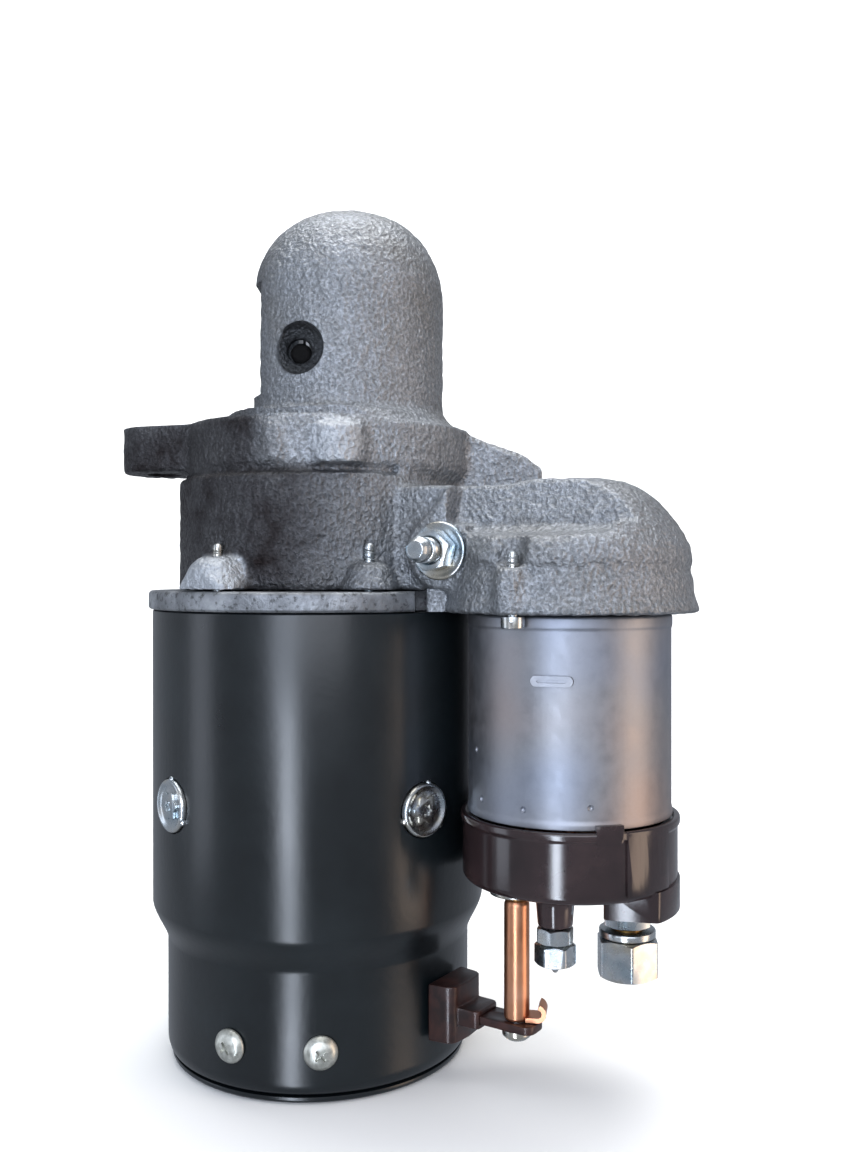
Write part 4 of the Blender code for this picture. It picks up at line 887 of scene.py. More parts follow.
def softCutters():
    # hollows that are cast, not machined: they are cut before the last rounding
    c = casting
    sideways = solenoidPlace @ Matrix(((0, 0, 1, 0), (1, 0, 0, 0), (0, 1, 0, 0), (0, 0, 0, 1)))
    panel = [(-0.0194, 0.1780), (-0.0700, 0.1760), (-0.0700, 0.2010), (-0.0152, 0.2010),
             (-0.0162, 0.1898)]
    valley = [(-0.0400, 0.1732), (-0.0232, 0.1752), (-0.0190, 0.1772), (-0.0186, 0.1790),
              (-0.0400, 0.1800)]
    cutters = [moved(prism(panel, -0.0300, 0.0440), sideways),
               moved(prism(valley, -0.0240, 0.0215), sideways)]
    # the bosses end at the plate's rim
    rim = arcPoints(0.0583, math.radians(-160), math.radians(-88), 14)
    cutters.append(prism(rim + arcPoints(0.0750, math.radians(-88), math.radians(-160), 14), 0.1500,
                         0.1720))
    # a groove under the flange, round the front and the left
    low, high = c["flangeLow"] - 0.0028, c["flangeLow"] - 0.0002
    groove = arcPoints(0.0452, math.radians(-195), math.radians(-52), 24)
    cutters.append(prism(groove + arcPoints(0.0600, math.radians(-52), math.radians(-195), 24), low,
                         high))
    for node in ("solenoid_screw_1", "solenoid_screw_2"):
        centre = centreOf(node)
        outward = (centre - solenoidAxis).xy.normalized() * 0.0030
        niche = softLathe([(0, 0.1646, 0), (0.0050, 0.1646, 0.0012), (0.0060, 0.1800, 0), (0, 0.1800, 0)],
                          40)
        cutters.append(moved(niche, shift(centre.x + outward.x, centre.y + outward.y)))
    return cutters


def roughenCast(piece):
    # moves the skin in and out a little, as sand leaves it
    mesh = piece.data
    normals = [vertex.normal.copy() for vertex in mesh.vertices]
    for vertex, normal in zip(mesh.vertices, normals):
        fine = noise.noise(vertex.co * 420)
        broad = noise.noise(vertex.co * 85 + Vector((7, 3, 5)))
        vertex.co += normal * (casting["grain"] * fine + casting["swell"] * broad - 0.00012)


def cutCast(piece):
    # machined faces, cavities and holes, cut sharp after the skin is rough
    c = casting
    wall = c["noseRadius"] + 0.0088
    ring = moved(lathe([(wall, c["flangeHigh"]), (0.14, c["flangeHigh"]), (0.14, 0.2300), (wall, 0.2300)],
                       96),
                 shift(c["noseX"], 0))
    hollow = [(0, 0.1400), (c["bodyBore"], 0.1400), (c["bodyBore"], 0.1950), (c["noseBore"], 0.1950),
              (c["noseBore"], 0.2620), (0.0098, 0.2620), (0.0098, 0.2830), (0, 0.2830)]
    tools = [ring, lathe(hollow, 96)]
    bore = [(0, 0.1400), (c["hoodBore"], 0.1400), (c["hoodBore"], 0.1690), (0.0168, 0.1745),
            (0.0155, c["hoodCeiling"]),
            (0, c["hoodCeiling"])]
    tools.append(moved(lathe(bore, 96), solenoidPlace))
    tools.append(moved(boxMesh((-0.0300, 0.0400), (-0.0095, 0.0095), (-0.0297, 0.0163)), pivotPlace))
    tools.append(solidLathe(0.0591, 0.1400, c["bodyLow"], 128))
    tools.append(lathe([(0.0585, 0.1400), (0.30, 0.1400), (0.30, 0.1506), (0.0585, 0.1506)], 128))
    tools.append(boxMesh((-0.0400, -0.0150), (-0.0160, 0.0160), (0.2235, 0.2620)))
    tools.append(boxMesh((-0.0400, -0.0212), (-0.0400, 0.0400), (0.2235, 0.2700)))
    port = [(0, 0.0150, 0), (0.0038, 0.0150, 0), (0.0040, 0.0236, 0.0010), (0.0082, 0.0262, 0.0016),
            (0.0088, 0.0300, 0.001),
            (0.0091, 0.0450, 0), (0, 0.0450, 0)]
    tools.append(moved(softLathe(port, 48), shift(-0.0043, 0, 0.2364) @ towardsFront))
    for turn in c["earTurns"]:
        tools.append(moved(solidLathe(c["earHole"], 0.1900, 0.2200, 48),
                           spin(math.radians(turn)) @ shift(c["earReach"], 0)))
    for turn in c["studTurns"]:
        tools.append(moved(solidLathe(0.0018, 0.1500, 0.1732, 24),
                           spin(math.radians(turn)) @ shift(c["studReach"], 0)))
    face = c["bridgeHalf"] + 0.0020
    tools.append(moved(solidLathe(0.0043, -0.0400, 0.0400, 32), pivotPlace @ towardsFront))
    for low in (face, -face - 0.02):
        tools.append(moved(solidLathe(0.0104, low, low + 0.02, 48), pivotPlace @ towardsFront))
    for node in ("solenoid_screw_1", "solenoid_screw_2"):
        centre = centreOf(node)
        tools.append(moved(solidLathe(0.0018, 0.1400, 0.1700, 24), shift(centre.x, centre.y)))
    booleanWith(piece, tools)
    # a tab beside the plate's notch
    tab = softCorners([(0.0378, -0.0462, 0.0010), (0.0490, -0.0462, 0.0010), (0.0490, -0.0330, 0),
                       (0.0378, -0.0330, 0)], 3)
    booleanWith(piece, [prism(tab, 0.1509, 0.1580)], "UNION")


def remeshed(piece, rounds):
    remesh = piece.modifiers.new("skin", "REMESH")
    remesh.mode = "VOXEL"
    remesh.voxel_size = casting["voxel"]
    smooth = piece.modifiers.new("round", "SMOOTH")
    smooth.factor = 0.5
    smooth.iterations = rounds
    return applyModifiers(piece)


def makeHousing():
    piece = finishMesh("driveEndCasting", joined(castShapes()), castIron)
    remeshed(piece, 4)
    booleanWith(piece, softCutters())
    remeshed(piece, 5)
    roughenCast(piece)
    cutCast(piece)
    settle(piece, "root", ["drive_end_housing"], None, 40)
    print("housing made,", len(piece.data.polygons), "faces")


makeHousing()


# field frame and rear end frame

frameSizes = {
    "radius": 0.05715, "wall": 0.0060, "top": 0.1506, "shoulderTop": 0.0535, "shoulderBottom": 0.0388,
    "rearRadius": 0.0519, "rearWall": 0.0045, "rim": 0.0020, "poleHeight": 0.0888, "poleTurn": -49.5,
    "brushHeight": 0.0165, "brushTurns": (-83.9, -116.2), "terminalTurn": -33.7, "boltTurns": (-94.5, 85.5),
}


def makeFieldFrame():
    f = frameSizes
    bottom = f["rim"] + 0.0003
    inner = f["radius"] - f["wall"]
    rearInner = f["rearRadius"] - f["rearWall"]
    shoulder = []
    for i in range(1, 12):
        share = i / 12
        blend = share * share * (3 - 2 * share)
        shoulder.append((f["rearRadius"] + (f["radius"] - f["rearRadius"]) * blend,
                         f["shoulderBottom"] + (f["shoulderTop"] - f["shoulderBottom"]) * share, 0))
    outline = [(rearInner, bottom, 0), (f["rearRadius"] - 0.0026, bottom, 0.0008),
               (f["rearRadius"] - 0.0008, bottom + 0.0010, 0.0010), (f["rearRadius"], bottom + 0.0036,
                                                                     0.0030)]
    outline += shoulder + [(f["radius"], f["top"], 0.0007), (inner, f["top"], 0.0004),
                           (inner, f["shoulderTop"], 0.001), (rearInner, f["shoulderBottom"], 0.001)]
    piece = finishMesh("paintedFrame", softLathe(outline, 160), blackPaint)
    tools = []
    for i in range(4):
        turn = math.radians(f["poleTurn"] + 90 * i)
        seat = softLathe([(0, 0.0547, 0), (0.0089, 0.0547, 0), (0.0089, 0.0562, 0.0004),
                          (0.0094, 0.0640, 0),
                          (0, 0.0640, 0)], 48)
        tools.append(moved(seat, outwards(turn, f["poleHeight"])))
        tools.append(moved(solidLathe(0.0043, 0.0480, 0.0600, 24), outwards(turn, f["poleHeight"])))
    for angle in f["brushTurns"]:
        for turn in (math.radians(angle), math.radians(angle + 180)):
            tools.append(moved(solidLathe(0.0028, 0.0450, 0.0600, 24), outwards(turn, f["brushHeight"])))
    slot = boxMesh((0.0440, 0.0600), (-0.0075, 0.0075), (0.0186, 0.0262))
    tools.append(moved(slot, spin(math.radians(f["terminalTurn"]))))
    booleanWith(piece, tools)
    settle(piece, "root", ["field_frame"])


def makeRearEnd():
    f = frameSizes
    inner = f["rearRadius"] - f["rearWall"] - 0.0003
    outline = [(0, 0, 0), (0.0170, 0, 0.0003), (0.0178, 0.0009, 0.0003), (0.0300, 0.0009, 0.0004),
               (0.0312, 0, 0.0004),
               (0.0497, 0, 0.0006), (0.0505, 0.0007, 0.0005), (0.0505, f["rim"], 0.0002), (inner, f["rim"], 0),
               (inner, 0.0070, 0.001), (0.0140, 0.0070, 0.002), (0.0125, 0.0185, 0.0008), (0.0098, 0.0185, 0.0004),
               (0.0098, 0.0038, 0), (0, 0.0038, 0)]
    piece = finishMesh("rearEndFrame", softLathe(outline, 144, 3), blackPaint)
    tools = []
    for angle in f["boltTurns"]:
        place = spin(math.radians(angle)) @ shift(0.0410, 0)
        tools.append(moved(solidLathe(0.0060, -0.0010, 0.0042, 40), place))
        tools.append(moved(solidLathe(0.0029, -0.0010, 0.0080, 24), place))
    booleanWith(piece, tools)
    settle(piece, "root", ["rear_end_frame"])


def lobedSocket(radius, lobe, low, high, lobes=6):
    # a socket or boss outline with soft lobes
    count = 72
    outline = []
    for i in range(count):
        a = 2 * math.pi * i / count
        reach = radius + lobe * math.cos(lobes * a)
        outline.append((reach * math.cos(a), reach * math.sin(a)))
    return prism(outline, low, high)


def makePoleScrews():
    # large flat heads, staked in the frame's seats, each with a raised lobed drive
    f = frameSizes
    outline = [(0, 0.0398, 0), (0.0040, 0.0398, 0), (0.0040, 0.0550, 0), (0.0085, 0.0550, 0.0003),
               (0.0086, 0.0577, 0.0006), (0.0078, 0.0585, 0.0005), (0.0063, 0.0576, 0.0006), (0, 0.0575, 0)]
    piece = finishMesh("poleScrewHeads", softLathe(outline, 64, 3), zinc)
    booleanWith(piece, [lobedSocket(0.0042, 0.00060, 0.0566, 0.0584)], "UNION")
    booleanWith(piece, [lobedSocket(0.0016, 0.00035, 0.0578, 0.0600)])
    bevelEdges(piece, 0.00022, 2, 40)
    bump = finishMesh("stakeMarks",
                      softLathe([(0, 0.0560, 0), (0.0011, 0.0560, 0), (0.0011, 0.0574, 0.0002),
                                               (0.0005, 0.0580, 0), (0, 0.0580, 0)], 10, 2), zinc)
    growFrom(bump, ringTree, count=3, startAngle=0.4, radius=0.0083, height=0.0, tilt=0.0, spinSpread=0.0,
             seed=1,
             finish=zinc)
    whole = joinPieces("poleScrewHeads", [piece, bump], zinc)
    growFrom(whole, ringTree, count=4, startAngle=math.radians(f["poleTurn"]), radius=0.0,
             height=f["poleHeight"],
             tilt=math.radians(90), spinSpread=6.28, seed=7, finish=zinc)
    settle(whole, "root", ["pole_screw_%d" % i for i in (1, 2, 3, 4)])


def makeBrushScrews():
    # domed heads with a shallow worn cross, two in front and two behind
    f = frameSizes
    seat = f["rearRadius"] + 0.0003
    outline = [(0, 0.0432, 0), (0.0025, 0.0432, 0), (0.0025, seat, 0), (0.0053, seat, 0.0002),
               (0.0053, seat + 0.0007, 0.0004), (0.0040, seat + 0.0021, 0.0008), (0.0018, seat + 0.0027, 0.0006),
               (0, seat + 0.0027, 0)]
    for number, angle in enumerate(f["brushTurns"], 1):
        piece = finishMesh("brushHolderScrews%d" % number, softLathe(outline, 48, 3), zincDull)
        arms = [boxMesh((-0.0021, 0.0021), (-0.00042, 0.00042), (seat + 0.0017, seat + 0.0040)),
                boxMesh((-0.00042, 0.00042), (-0.0021, 0.0021), (seat + 0.0017, seat + 0.0040))]
        booleanWith(piece, arms)
        growFrom(piece, ringTree, count=2, startAngle=math.radians(angle), radius=0.0,
                 height=f["brushHeight"],
                 tilt=math.radians(90), spinSpread=3.0, seed=11 + number, finish=zincDull)
        settle(piece, "root", ["brush_screw_%d" % number])


def joinPieces(name, pieces, material):
    # several loose pieces become one
    bm = bmesh.new()
    for piece in pieces:
        bm.from_mesh(piece.data)
        mesh = piece.data
        bpy.data.objects.remove(piece)
        bpy.data.meshes.remove(mesh)
    return finishMesh(name, bm, material)


makeFieldFrame()
makeRearEnd()
makePoleScrews()
makeBrushScrews()
print("field frame and its screws made")


# centre plate and its studs

def makeCentrePlate():
    outline = [(0.0108, 0.1509, 0.0003), (0.0578, 0.1509, 0.0002), (0.0585, 0.1516, 0.0003),
               (0.0585, 0.1563, 0.0006),
               (0.0576, 0.1572, 0.0006), (0.0108, 0.1572, 0.0003)]
    piece = finishMesh("centrePlate", softLathe(outline, 160, 3), machinedIron)
    tools = [moved(solidLathe(0.0018, 0.1400, 0.1650, 24), spin(math.radians(a)) @ shift(0.0490, 0))
             for a in casting["studTurns"]]
    tools.append(boxMesh((0.0342, 0.0700), (-0.0700, -0.0322), (0.1400, 0.1700)))
    tools += [moved(solidLathe(0.0031, 0.1400, 0.1650, 24), spin(math.radians(a)) @ shift(0.0410, 0))
              for a in frameSizes["boltTurns"]]
    booleanWith(piece, tools)
    settle(piece, "root", ["centre_plate"])


def makePlateStuds():
    for number, angle in enumerate(casting["studTurns"], 1):
        outline = [(0, 0.1512, 0), (0.0015, 0.1512, 0), (0.0015, 0.1716, 0), (0.0011, 0.1722, 0.0002),
                   (0, 0.1722, 0)]
        piece = threadedPiece("plateStud%d" % number, outline, 0.0015, 0.1580, 0.1716, 0.0007, zinc, 24)
        settle(piece, "root", ["plate_stud_%d" % number],
               spin(math.radians(angle)) @ shift(0.0490, 0))


def makeThroughBolts():
    outline = [(0, 0.0004, 0), (0.0044, 0.0004, 0), (0.0052, 0.0012, 0.0003), (0.0052, 0.0039, 0.0002),
               (0.0026, 0.0039, 0), (0.0026, 0.1568, 0.0004), (0, 0.1568, 0)]
    for number, angle in enumerate(frameSizes["boltTurns"], 1):
        piece = finishMesh("throughBolt%d" % number, softLathe(outline, 32), zinc)
        booleanWith(piece, [boxMesh((-0.0060, 0.0060), (-0.0006, 0.0006), (-0.0010, 0.0017))])
        settle(piece, "root", ["through_bolt_%d" % number],
               spin(math.radians(angle)) @ shift(0.0410, 0))


makeCentrePlate()
makePlateStuds()
makeThroughBolts()
print("centre plate and studs made")


# solenoid can, cap and screws

canSizes = {"radius": 0.0320, "low": 0.0886, "high": 0.1503, "wall": 0.0020, "markTurn": -80,
            "markHeight": 0.13165}


def makeCan():
    s = canSizes
    r = s["radius"]
    outline = [(r - s["wall"], s["low"], 0.0003), (r, s["low"], 0.0003), (r, s["low"] + 0.0016, 0.0003),
               (r - 0.0003, s["low"] + 0.0026, 0.0006), (r - 0.0003, s["high"] - 0.0042, 0.0006),
               (r, s["high"] - 0.0034, 0.0003), (r, s["high"], 0.0010), (0.0115, s["high"], 0),
               (0.0115, s["high"] - 0.0052, 0), (r - s["wall"], s["high"] - 0.0052, 0)]
    piece = finishMesh("solenoidCan", softLathe(outline, 144), canZinc)
    bar = [(x, z) for x, z in arcPoints(0.0016, math.radians(-90), math.radians(90), 8, (0.0046, 0))]
    bar += [(x, z) for x, z in arcPoints(0.0016, math.radians(90), math.radians(270), 8, (-0.0046, 0))]
    spot = spin(math.radians(s["markTurn"])) @ shift(0, 0, s["markHeight"])
    spot = spot @ Matrix.Rotation(math.radians(90), 4, "Y") @ Matrix.Rotation(math.radians(90), 4, "Z")
    booleanWith(piece, [moved(prism(bar, 0.0295, r + 0.0010), spot)], "UNION")
    groove = [(x * 0.72, y * 0.30) for x, y in bar]
    booleanWith(piece, [moved(prism(groove, r + 0.0003, r + 0.0030), spot)])
    dimples = []
    for angle, height in ((-127, 0.0945), (-96, 0.0938), (-60, 0.0952), (-133, 0.1090), (100, 0.0945),
                          (30, 0.0945)):
        dot = bmesh.new()
        bmesh.ops.create_icosphere(dot, subdivisions=2, radius=0.0011)
        dimples.append(moved(dot, spin(math.radians(angle)) @ shift(r + 0.0001, 0, height)))
    booleanWith(piece, dimples)
    settle(piece, "root", ["solenoid_can"], solenoidPlace)


capSizes = {"radius": 0.0343, "low": 0.0672, "top": 0.0883, "floor": 0.0732, "blockLow": 0.0600,
            "battery": (0.1005, -0.0440), "motor": (0.0660, -0.0440), "switch": (0.0762, -0.0600)}


def makeCap():
    c = capSizes
    r = c["radius"]
    local = solenoidPlace.inverted()
    batteryLocal = local @ Vector((*c["battery"], 0))
    inward = math.atan2(batteryLocal.y, batteryLocal.x)
    outline = [(0, c["low"], 0), (r - 0.0022, c["low"], 0.0012), (r - 0.0007, c["low"] + 0.0016, 0.0012),
               (r - 0.0007, c["top"] - 0.0030, 0.0004), (r, c["top"] - 0.0022, 0.0004), (r, c["top"], 0.0008),
               (0.0324, c["top"], 0.0004), (0.0322, c["top"] - 0.0014, 0), (0.0298, c["top"] - 0.0014, 0),
               (0.0298, c["floor"], 0), (0, c["floor"], 0)]
    piece = finishMesh("terminalCap", softLathe(outline, 128), phenolic)
    block = arcPoints(r, math.radians(-35), math.radians(35), 14) + [(0.0120, 0.0196), (0.0120, -0.0196)]
    block = [(x, y, 0.0018) for x, y in block]
    boss = softLathe([(0, 0.0581, 0), (0.0052, 0.0581, 0.0006), (0.0058, 0.0655, 0.0030),
                      (0.0078, 0.0690, 0), (0, 0.0690, 0)], 48)
    motorBoss = softLathe([(0, 0.0655, 0), (0.0082, 0.0655, 0.0008), (0.0092, 0.0690, 0), (0, 0.0690, 0)],
                          48)
    adds = [moved(prism(softCorners(block, 3), c["blockLow"], 0.0690), spin(inward)),
            moved(boss, local @ shift(*c["switch"])), moved(motorBoss, local @ shift(*c["motor"]))]
    for low, high, inner, top in ((-58, -44, 0.0324, 0.0904), (-42, -12, 0.0300, c["top"] - 0.0012),
                                  (120, 134, 0.0324, 0.0904), (150, 176, 0.0300, c["top"] - 0.0012)):
        outer = arcPoints(r, math.radians(low), math.radians(high), 8)
        inside = arcPoints(inner, math.radians(high), math.radians(low), 8)
        adds.append(prism(outer + inside, c["top"] - 0.0030 if inner > 0.031 else c["low"] + 0.0024, top))
    booleanWith(piece, adds, "UNION")
    cuts = [moved(solidLathe(0.0090, 0.0500, c["low"] - 0.0016, 48), local @ shift(*c["battery"]))]
    for (x, y), radius in ((c["battery"], 0.0053), (c["motor"], 0.0048), (c["switch"], 0.0028)):
        cuts.append(moved(solidLathe(radius, 0.0500, 0.0800, 32), local @ shift(x, y)))
    booleanWith(piece, cuts)
    bevelEdges(piece, 0.00035, 2, 38)
    settle(piece, "root", ["solenoid_cap"], solenoidPlace, 40)


def makeSolenoidScrews():
    # slotted cheese heads under the lip; their ends stand above the ledge
    for number, angle in ((1, -97.8), (2, 82.2)):
        outline = [(0, 0.1468, 0), (0.0034, 0.1468, 0.0004), (0.0035, 0.1503, 0.0002),
                   (0.0015, 0.1503, 0),
                   (0.0015, 0.1684, 0), (0.0011, 0.1690, 0), (0, 0.1690, 0)]
        piece = threadedPiece("solenoidScrew%d" % number, outline, 0.0015, 0.1560, 0.1680, 0.0007, zinc,
                              32)
        booleanWith(piece, [moved(boxMesh((-0.0050, 0.0050), (-0.0006, 0.0006), (0.1450, 0.1488)),
                                  spin(math.radians(20)))])
        settle(piece, "root", ["solenoid_screw_%d" % number],
               solenoidPlace @ spin(math.radians(angle)) @ shift(0.0362, 0))


makeCan()
makeCap()
makeSolenoidScrews()
print("solenoid made")


# pivot bolt of the shift lever

def makePivotBolt():
    face = 0.0278
    outline = [(0, -face - 0.0008, 0), (0.0034, -face - 0.0008, 0), (0.0034, 0.0438, 0),
               (0.0026, 0.0450, 0.0003),
               (0, 0.0450, 0)]
    piece = threadedPiece("pivotBolt", outline, 0.0034, 0.0330, 0.0440, 0.00115, zinc, 40)
    head = hexNut("pivotHead", 0.0125, -face - 0.0053, -face, 0.0010, zinc)
    whole = joinPieces("pivotBolt", [piece, head], zinc)
    settle(whole, "root", ["pivot_bolt"], pivotPlace @ towardsFront)
    low = face + 0.0019
    nut = hexNut("pivotNut", 0.0114, low, low + 0.0062, 0.0040, zinc, math.radians(14))
    settle(nut, "root", ["pivot_nut"], pivotPlace @ towardsFront)
    ring = [(0.0041, face, 0), (0.0090, face, 0.0002), (0.0090, face + 0.0011, 0.0005),
            (0.0084, face + 0.0016, 0.0004),
            (0.0072, face + 0.0013, 0.0003), (0.0041, face + 0.0013, 0)]
    washer = finishMesh("pivotWasher", softLathe(ring, 64), zinc)
    settle(washer, "root", ["pivot_washer"], pivotPlace @ towardsFront)


def makePortShadePlug():
    # nearly black felt plug in the nose's oil port: painted shade of the deep hole
    outline = [(0, 0.0178, 0), (0.0035, 0.0178, 0.0006), (0.0036, 0.0194, 0.0008),
               (0.0024, 0.0202, 0.0005), (0, 0.0198, 0)]
    shadePlug = finishMesh("portShadePlug", softLathe(outline, 32), portShadeFelt)
    settle(shadePlug, "root", (), shift(-0.0043, 0, 0.2364) @ towardsFront)


makePivotBolt()
makePortShadePlug()
print("pivot bolt and oil port made")


# terminals

def makeBatteryTerminal():
    place = shift(*capSizes["battery"])
    outline = [(0, 0.0385, 0), (0.0038, 0.0385, 0), (0.0045, 0.0395, 0.0002), (0.0045, 0.0735, 0),
               (0.0078, 0.0735, 0.0004),
               (0.0078, 0.0757, 0.0004), (0, 0.0757, 0)]
    stud = threadedPiece("batteryStud", outline, 0.0045, 0.0392, 0.0690, 0.00125, copperDull, 48)
    settle(stud, "root", ["battery_stud"], place)
    jam = hexNut("batteryJamNut", 0.0140, 0.0532, 0.0590, 0.0051, zinc, math.radians(20))
    settle(jam, "root", ["battery_jam_nut"], place)
    ring = [(0.0052, 0.0500, 0), (0.0088, 0.0500, 0.0003), (0.0088, 0.0522, 0.0006), (0.0052, 0.0522, 0)]
    washer = finishMesh("batteryWasher", softLathe(ring, 64), zinc)
    settle(washer, "root", ["battery_washer"], place)
    nut = hexNut("batteryNut", 0.0175, 0.0374, 0.0497, 0.0051, zinc, math.radians(28))
    settle(nut, "root", ["battery_nut"], place)


def makeSwitchTerminal():
    place = shift(*capSizes["switch"])
    outline = [(0, 0.0440, 0), (0.0006, 0.0440, 0), (0.0021, 0.0462, 0.0002), (0.0021, 0.0735, 0),
               (0.0045, 0.0735, 0),
               (0.0045, 0.0757, 0), (0, 0.0757, 0)]
    stud = threadedPiece("switchStud", outline, 0.0021, 0.0464, 0.0625, 0.0008, zinc, 32)
    settle(stud, "root", ["switch_stud"], place)
    upper = hexNut("switchNutUpper", 0.0100, 0.0530, 0.0576, 0.0027, zinc, math.radians(10))
    settle(upper, "root", ["switch_nut_1"], place)
    lower = hexNut("switchNutLower", 0.0110, 0.0466, 0.0527, 0.0027, zinc, math.radians(-8))
    settle(lower, "root", ["switch_nut_2"], place)


def makeMotorTerminal():
    # stud, washer, round link bar with its curled tab, and the end screw
    place = shift(*capSizes["motor"])
    outline = [(0, 0.0615, 0), (0.0045, 0.0615, 0.0003), (0.0045, 0.0735, 0), (0.0078, 0.0735, 0),
               (0.0078, 0.0757, 0), (0, 0.0757, 0)]
    stud = finishMesh("motorStud", softLathe(outline, 48), copperDull)
    settle(stud, "root", ["motor_stud"], place)
    ring = [(0.0047, 0.0630, 0), (0.0085, 0.0630, 0.0004), (0.0085, 0.0650, 0.0006), (0.0047, 0.0650, 0)]
    washer = finishMesh("motorWasher", softLathe(ring, 64), zinc)
    settle(washer, "root", ["motor_stud_washer"], place)
    outline = [(0, 0.0290, 0), (0.0026, 0.0290, 0), (0.0026, 0.0239, 0), (0.0036, 0.0239, 0.0002),
               (0.0040, 0.0246, 0.0004),
               (0.0040, 0.0600, 0.0008), (0.0034, 0.0612, 0.0004), (0, 0.0612, 0)]
    bar = finishMesh("linkBar", softLathe(outline, 64), copper)
    tab = curledTab()
    booleanWith(bar, [tab], "UNION")
    settle(bar, "root", ["copper_link"], place)
    head = [(0, 0.0176, 0), (0.0030, 0.0176, 0.0008), (0.0046, 0.0190, 0.0006), (0.0046, 0.0209, 0.0002),
            (0.0023, 0.0209, 0),
            (0.0023, 0.0286, 0), (0, 0.0286, 0)]
    screw = finishMesh("linkScrew", softLathe(head, 48), zinc)
    booleanWith(screw, [moved(boxMesh((-0.0060, 0.0060), (-0.0005, 0.0005), (0.0160, 0.0186)),
                              spin(0.6))])
    settle(screw, "root", ["link_screw"], place)


def curledTab():
    # a small leaf that leaves the bar's foot and curls up at its end
    low, thick, half = 0.0240, 0.0014, 0.0035
    middle = [(0.0030, low), (0.0066, low)]
    middle += [(0.0066 + 0.0028 * math.sin(a), low + 0.0028 - 0.0028 * math.cos(a))
               for a in [math.radians(18 * i) for i in range(1, 10)]]
    upper, lower = [], []
    for i, (x, z) in enumerate(middle):
        a = middle[max(i - 1, 0)]
        b = middle[min(i + 1, len(middle) - 1)]
        along = (Vector(b) - Vector(a)).normalized()
        upper.append((x - along.y * thick, z + along.x * thick))
        lower.append((x, z))
    bm = prism(lower + upper[::-1], -half, half)
    return moved(bm, spin(math.radians(-10)) @ Matrix.Rotation(math.radians(90), 4, "X"))


def makeFieldTerminal():
    f = frameSizes
    turn = spin(math.radians(f["terminalTurn"]))
    reach = math.hypot(*capSizes["motor"])
    end = reach + 0.0075
    outline = [(0.0416, -0.0050, 0), (end, -0.0050, 0.0035), (end, 0.0050, 0.0035), (0.0416, 0.0050, 0)]
    strap = finishMesh("fieldStrap", prism(softCorners(outline, 5), 0.0212, 0.0236), lacqueredCopper)
    booleanWith(strap, [moved(solidLathe(0.0027, 0.0100, 0.0300, 24), shift(reach, 0))])
    bevelEdges(strap, 0.0003)
    settle(strap, "root", ["field_terminal"], turn)
    neck = finishMesh("terminalGrommet", boxMesh((0.0476, 0.0545), (-0.0072, 0.0072), (0.0189, 0.0259)),
                      lacqueredCopper)
    flange = prism(softCorners([(0.0524, -0.0100, 0.001), (0.0612, -0.0088, 0.003), (0.0620, 0, 0),
                                (0.0612, 0.0088, 0.003),
                                (0.0524, 0.0100, 0.001)], 4), 0.0140, 0.0320)
    collar = prism(softCorners([(0.0600, -0.0066, 0.001), (0.0690, -0.0062, 0.002),
                                (0.0690, 0.0062, 0.002),
                                (0.0600, 0.0066, 0.001)], 3), 0.0196, 0.0252)
    booleanWith(neck, [flange, collar], "UNION")
    bevelEdges(neck, 0.0012, 3, 40)
    booleanWith(neck, [boxMesh((0.0400, 0.0720), (-0.0053, 0.0053), (0.0209, 0.0239))])
    settle(neck, "root", ["terminal_insulator"], turn)


makeBatteryTerminal()
makeSwitchTerminal()
makeMotorTerminal()
makeFieldTerminal()
print("terminals made")


# shaft, drive and pinion, seen through the nose's window

def makePinion():
    # ten teeth with rounded tips, chamfered on the side that meets the ring gear
    teeth, root, tip, low, high = 10, 0.0132, 0.0180, 0.2066, 0.2270
    outline = [(0.0120, -0.0046, 0), (root, -0.0044, 0.0002), (0.0156, -0.0029, 0),
               (tip, -0.0013, 0.0006),
               (tip, 0.0013, 0.0006), (0.0156, 0.0029, 0), (root, 0.0044, 0.0002), (0.0120, 0.0046, 0)]
    tooth = finishMesh("tooth", prism(softCorners(outline, 3), low, high), steel)
    lead = lathe([(0, low - 0.001), (0.0200, low - 0.001), (0.0200, high - 0.0034),
                  (0.0148, high + 0.0001), (0, high + 0.001)], 64)
    booleanWith(tooth, [lead], "INTERSECT")
    growFrom(tooth, ringTree, count=teeth, startAngle=0.0, radius=0.0, height=0.0, tilt=0.0,
             spinSpread=0.0, seed=1,
             finish=steel)
    bore = 0.0079
    hub = softLathe([(bore, low, 0.0004), (0.0128, low, 0.0003), (0.0128, high, 0.0004),
                     (bore + 0.0006, high, 0),
                     (bore, high - 0.0006, 0)], 96)
    gear = joinPieces("drivePinion", [tooth, finishMesh("hub", hub, steel)], steel)
    settle(gear, "pinion", ["pinion"])


driveSleeve = {"bore": 0.0079, "collar": 0.0150, "neck": 0.0102, "tube": 0.0112, "shell": 0.0195,
               "seam": 0.0191, "forkHeight": 0.0067, "forkGap": 0.0044, "tubeStart": 0.0066}


